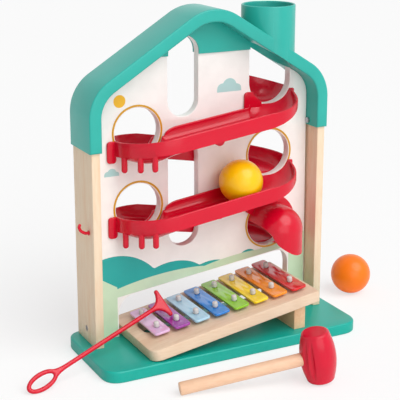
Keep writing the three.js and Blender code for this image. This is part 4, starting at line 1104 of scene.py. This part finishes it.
flange_line = arc(HOLE_X, EXIT_HOLE_Z, FLANGE_RADIUS, FLANGE_FROM, FLANGE_TO, FLANGE_STEPS)
flange_line += arc(HOLE_X, EXIT_HOLE_Z, CHUTE_OUTER - FLANGE_LAP, FLANGE_TO, FLANGE_FROM, FLANGE_STEPS)
flange = slab("flange", [flange_line], -MOUNT_FACE - FLANGE_THICK, -MOUNT_FACE, FLANGE_EDGE, steps=3)
chute = join("chute", [chute, boss, flange])
dress(chute, RED, "frame", ["exit_chute"])

# Xylophone
ON_BOARD = at(BOARD_LEFT, 0, BOARD_FOOT) @ Matrix.Rotation(-TILT, 4, "Y")
board_corners = [(0, -BOARD_FRONT, LOW_CORNER), (BOARD_LENGTH, -BOARD_FRONT, HIGH_CORNER)]
board_corners += [(BOARD_LENGTH, BOARD_BACK, HIGH_CORNER), (0, BOARD_BACK, LOW_CORNER)]
sound_slot = rectangle(SOUND_SLOT_MARGIN, BOARD_LENGTH - SOUND_SLOT_MARGIN, -BAR_LINE - SOUND_SLOT_HALF,
                       -BAR_LINE + SOUND_SLOT_HALF, SOUND_SLOT_CORNER)
board = plate("board", [rounded(board_corners), sound_slot], 0, BOARD_THICK, BOARD_EDGE, steps=3)
dress(move(board, ON_BOARD), BOARD_WOOD, "frame", ["xylophone_board"])
low, high = (Vector(corner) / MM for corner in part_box("xylophone_riser"))
drop = (high.x - low.x) * math.tan(TILT)
riser_outline = [(low.x, low.z), (high.x, low.z), (high.x, high.z), (low.x, high.z - drop)]
riser = slab("riser", [riser_outline], low.y, high.y, RISER_EDGE)
dress(riser, RISER_WOOD, "frame", ["xylophone_riser"])

cap_foot = BAR_UNDER + BAR_THICK + BAR_PLAY
cap_side = cap_foot + CAP_SIDE
pin_profile = [(0, PIN_FOOT), (PIN_SHANK, PIN_FOOT), (PIN_SHANK, SPACER_FOOT), (SPACER_RADIUS, SPACER_FOOT),
               (SPACER_RADIUS, SPACER_TOP), (PIN_NECK, SPACER_TOP), (PIN_NECK, cap_foot),
               (CAP_RADIUS, cap_foot), (CAP_RADIUS, cap_side)]
for a in np.linspace(*CAP_TURNS, 6):
    pin_profile.append((CAP_RADIUS * math.cos(a), cap_side + CAP_DOME * math.sin(a)))
pin_profile.append((0, cap_foot + CAP_HEIGHT))

for i in range(BAR_COUNT):
    x = BAR_FIRST + i * BAR_PITCH
    length = BAR_SHORT + (BAR_LONG - BAR_SHORT) * i / (BAR_COUNT - 1)
    reach = length * (0.5 - PIN_SHARE)
    outline = rectangle(x - BAR_WIDTH / 2, x + BAR_WIDTH / 2,
                        -BAR_LINE - length / 2, -BAR_LINE + length / 2, BAR_CORNER)
    holes = [circle(x, -BAR_LINE + side * reach, PIN_HOLE, PIN_STEPS) for side in (-1, 1)]
    chime = plate(f"chime_{i + 1}", [outline] + holes, BAR_UNDER, BAR_UNDER + BAR_THICK, BAR_EDGE)
    chime = move(chime, ON_BOARD)
    dress(chime, BAR_PAINT[i], f"bar_{i + 1}_body", [f"bar_{i + 1}"])
    for end, side in (("front", -1), ("rear", 1)):
        pin = turned(f"chime_{i + 1}_{end}_stud", pin_profile, PIN_STEPS)
        pin = move(pin, ON_BOARD @ at(x, -BAR_LINE + side * reach, 0))
        dress(pin, PIN, "frame", [f"bar_{i + 1}_{end}_pin"])

# Balls
for name, colour, slot in (("yellow", YELLOW, "yellow_paint"), ("orange", ORANGE, "orange_paint")):
    low, high = (Vector(corner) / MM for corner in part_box(f"{name}_ball"))
    middle = (low + high) / 2
    dress(ball(f"{name}_sphere", BALL_RADIUS, *middle), colour, f"{name}_ball_body", [f"{name}_ball"])


# Mallet: it lies on the rim of its head and the end of its handle
def barrel_radius(share, angle):
    """The head's radius at a share of its half length and an angle, with the flutes cut in."""
    edge = MALLET_FACE + MALLET_EDGE
    radius = MALLET_RADIUS + (edge - MALLET_RADIUS) * share * share
    fade = max(0, 1 - share * share * FLUTE_FADE)
    width = FLUTE_WIDTH * math.sqrt(fade)
    for flute in FLUTES:
        for mirrored in (flute, -flute):
            gap = (math.degrees(angle) - mirrored + 540) % 360 - 180
            if abs(gap) < width:
                radius -= FLUTE_DEPTH * fade * (1 - (gap / width) ** 2)
    return radius


def mallet_head(steps=216, rings=41):
    """A fluted barrel with eased faces about the Z axis."""
    face = MALLET_FACE - MALLET_ROUND
    edge = MALLET_EDGE + MALLET_ROUND
    cap = [(face * MALLET_CENTRE, MALLET_HALF)]
    for a in np.linspace(0, QUARTER, 8)[:-1]:
        cap.append((face + edge * math.sin(a), MALLET_HALF - edge * (1 - math.cos(a))))
    points = []
    for radius, height in cap:
        points += ring(radius, -height, steps)
    for share in np.linspace(-1, 1, rings):
        for a in around(steps):
            radius = barrel_radius(share, a)
            points.append((radius * math.cos(a), radius * math.sin(a), share * (MALLET_HALF - edge)))
    for radius, height in cap[::-1]:
        points += ring(radius, height, steps)
    return loft("mallet_barrel", points, steps, MALLET_SMOOTH)


mallet_tilt = math.atan((MALLET_HALF - HANDLE_RADIUS) / (HANDLE_REACH - MALLET_FACE))
mallet_z = MALLET_HALF * math.cos(mallet_tilt) + MALLET_FACE * math.sin(mallet_tilt)
mallet_turn = Matrix.Rotation(MALLET_HEADING, 4, "Z") @ Matrix.Rotation(mallet_tilt, 4, "Y")
mallet_place = at(*MALLET_AT, mallet_z) @ mallet_turn
head = move(mallet_head(), mallet_place)
dress(head, RED_PAINT, "mallet_body", ["mallet_head"])
handle_start = (MALLET_RADIUS - HANDLE_SINK, 0, 0)
handle = bar("mallet_stick", HANDLE_RADIUS, handle_start, (HANDLE_REACH, 0, 0), HANDLE_EDGE)
dress(move(handle, mallet_place), HANDLE_WOOD, "mallet_body", ["mallet_handle"])

# Ball rake: one flat moulding with round edges, from its loop along the shaft to the head
half_rake = oval(RAKE_HOLE[0] + 2 * RAKE_ROD, RAKE_HOLE[1] + 2 * RAKE_ROD, math.pi, RAKE_LOOP_END, 36)
half_rake += bend(half_rake[-1], (RAKE_NECK_TURN, RAKE_ROD), (RAKE_NECK_END, RAKE_ROD))[1:]
web_start = (RAKE_LENGTH - RAKE_HEAD, RAKE_ROD)
web_turn = (RAKE_LENGTH - RAKE_WEB_REACH, RAKE_WEB_RISE)
web_end = (RAKE_LENGTH - RAKE_ROD, RAKE_BAR)
half_rake += bend(web_start, web_turn, web_end)
half_rake += arc(RAKE_LENGTH, RAKE_BAR, RAKE_ROD, math.pi, 0, 10)[1:]
rake_outline = half_rake + [(x, -y) for x, y in half_rake[::-1]][:-1]
rake_hole = oval(*RAKE_HOLE, 0, FULL, 49)[:-1]
rake = plate("rake", [rake_outline, rake_hole], -RAKE_ROD, RAKE_ROD, RAKE_EDGE, steps=5)
rake_turn = Matrix.Rotation(RAKE_HEADING, 4, "Z") @ Matrix.Rotation(-RAKE_RISE, 4, "Y")
rake = move(rake, at(*RAKE_AT) @ rake_turn @ Matrix.Rotation(RAKE_ROLL, 4, "X"))
dress(rake, RED, "rake_body", ["ball_rake"])

# Tool hook: a round foot on the post and a rod that turns up
hook_line = [(HOOK_FACE - out, HOOK_Y, HOOK_Z + up) for out, up in HOOK_PATH]
hook = tube("hook", curve_through(hook_line), HOOK_ROD)
foot_z = HOOK_Z - HOOK_FOOT_DROP
foot_end = (HOOK_FACE - HOOK_FOOT_THICK, HOOK_Y, foot_z)
hook_foot = bar("foot", HOOK_FOOT_RADIUS, (HOOK_FACE, HOOK_Y, foot_z), foot_end, HOOK_FOOT_EDGE)
dress(join("hook", [hook, hook_foot]), RED, "frame", ["tool_hook"])

# The screws stay as the CAD has them and get their own material
slots = {row["node"]: row["material_slot"] for row in frame["record"]["subparts"]}
for name, shown in frame["nodes"].items():
    if slots[name] == "screw_steel":
        shown.data.materials.clear()
        shown.data.materials.append(STEEL)


# Floor
def backdrop(name, colour, glow):
    """A pale surface that the camera sees lifted towards white, while the object's light stays plain."""
    material = bpy.data.materials.new(name)
    material.use_nodes = True
    nodes = material.node_tree.nodes
    links = material.node_tree.links
    values = {"Roughness": FLOOR_ROUGHNESS, "Specular IOR Level": 0.0}
    shader = set_inputs(nodes["Principled BSDF"], values)
    noise = set_inputs(nodes.new("ShaderNodeTexNoise"), {"Scale": FLOOR_MOTTLE})
    ramp = nodes.new("ShaderNodeValToRGB")
    ramp.color_ramp.elements[0].color = shade(colour, FLOOR_SHADE)
    ramp.color_ramp.elements[1].color = colour
    links.new(noise.outputs["Fac"], ramp.inputs["Fac"])
    links.new(ramp.outputs["Color"], shader.inputs["Base Color"])
    light = nodes.new("ShaderNodeEmission")
    path = nodes.new("ShaderNodeLightPath")
    seen = nodes.new("ShaderNodeMath")
    seen.operation = "MULTIPLY"
    seen.inputs[1].default_value = glow
    mix = nodes.new("ShaderNodeMixShader")
    links.new(path.outputs["Is Camera Ray"], seen.inputs[0])
    links.new(seen.outputs["Value"], mix.inputs["Fac"])
    links.new(shader.outputs["BSDF"], mix.inputs[1])
    links.new(light.outputs["Emission"], mix.inputs[2])
    links.new(mix.outputs["Shader"], nodes["Material Output"].inputs["Surface"])
    return material


floor_outline = rectangle(-FLOOR_HALF, FLOOR_HALF, -FLOOR_HALF, FLOOR_HALF, 0)
floor = piece("floor", [(x, y, 0) for x, y in floor_outline], [[0, 1, 2, 3]])
floor.data.materials.append(backdrop("pale_floor", FLOOR_COLOUR, FLOOR_GLOW))

# World: the camera and reflections see white, and the toy is lit by a dimmer sky
scene = bpy.context.scene
world = bpy.data.worlds.new("studio")
scene.world = world
world.use_nodes = True
nodes = world.node_tree.nodes
links = world.node_tree.links
sky = set_inputs(nodes["Background"], {"Color": WHITE, "Strength": SKY_STRENGTH})
white = set_inputs(nodes.new("ShaderNodeBackground"), {"Color": WHITE})
path = nodes.new("ShaderNodeLightPath")
either = nodes.new("ShaderNodeMath")
either.operation = "MAXIMUM"
mix = nodes.new("ShaderNodeMixShader")
links.new(path.outputs["Is Camera Ray"], either.inputs[0])
links.new(path.outputs["Is Glossy Ray"], either.inputs[1])
links.new(either.outputs["Value"], mix.inputs["Fac"])
links.new(sky.outputs["Background"], mix.inputs[1])
links.new(white.outputs["Background"], mix.inputs[2])
links.new(mix.outputs["Shader"], nodes["World Output"].inputs["Surface"])


# Lights
def place_light(data, place):
    """A light at a place, turned to the middle of the toy."""
    shown = bpy.data.objects.new(data.name, data)
    shown.location = place
    shown.rotation_euler = (Vector(LIGHT_TARGET) - Vector(place)).to_track_quat("-Z", "Y").to_euler()
    bpy.context.collection.objects.link(shown)


front_light = bpy.data.lights.new("front", "AREA")
front_light.shape = "DISK"
front_light.size = FRONT_SIZE
front_light.energy = FRONT_POWER
place_light(front_light, FRONT_AT)
key_light = bpy.data.lights.new("key", "SUN")
key_light.energy = KEY_POWER
key_light.angle = KEY_ANGLE
place_light(key_light, KEY_AT)

# Camera
view = bpy.data.cameras.new("photo_view")
camera = bpy.data.objects.new("photo_view", view)
bpy.context.collection.objects.link(camera)
view.sensor_width = SENSOR_WIDTH
view.lens = FOCAL_PIXELS / IMAGE_PIXELS * SENSOR_WIDTH
view.shift_y = VIEW_SHIFT
camera.location = CAMERA_AT
camera.rotation_euler = (QUARTER - CAMERA_PITCH, 0, -CAMERA_YAW)
scene.camera = camera
scene.view_settings.view_transform = "Standard"

bpy.context.view_layer.update()
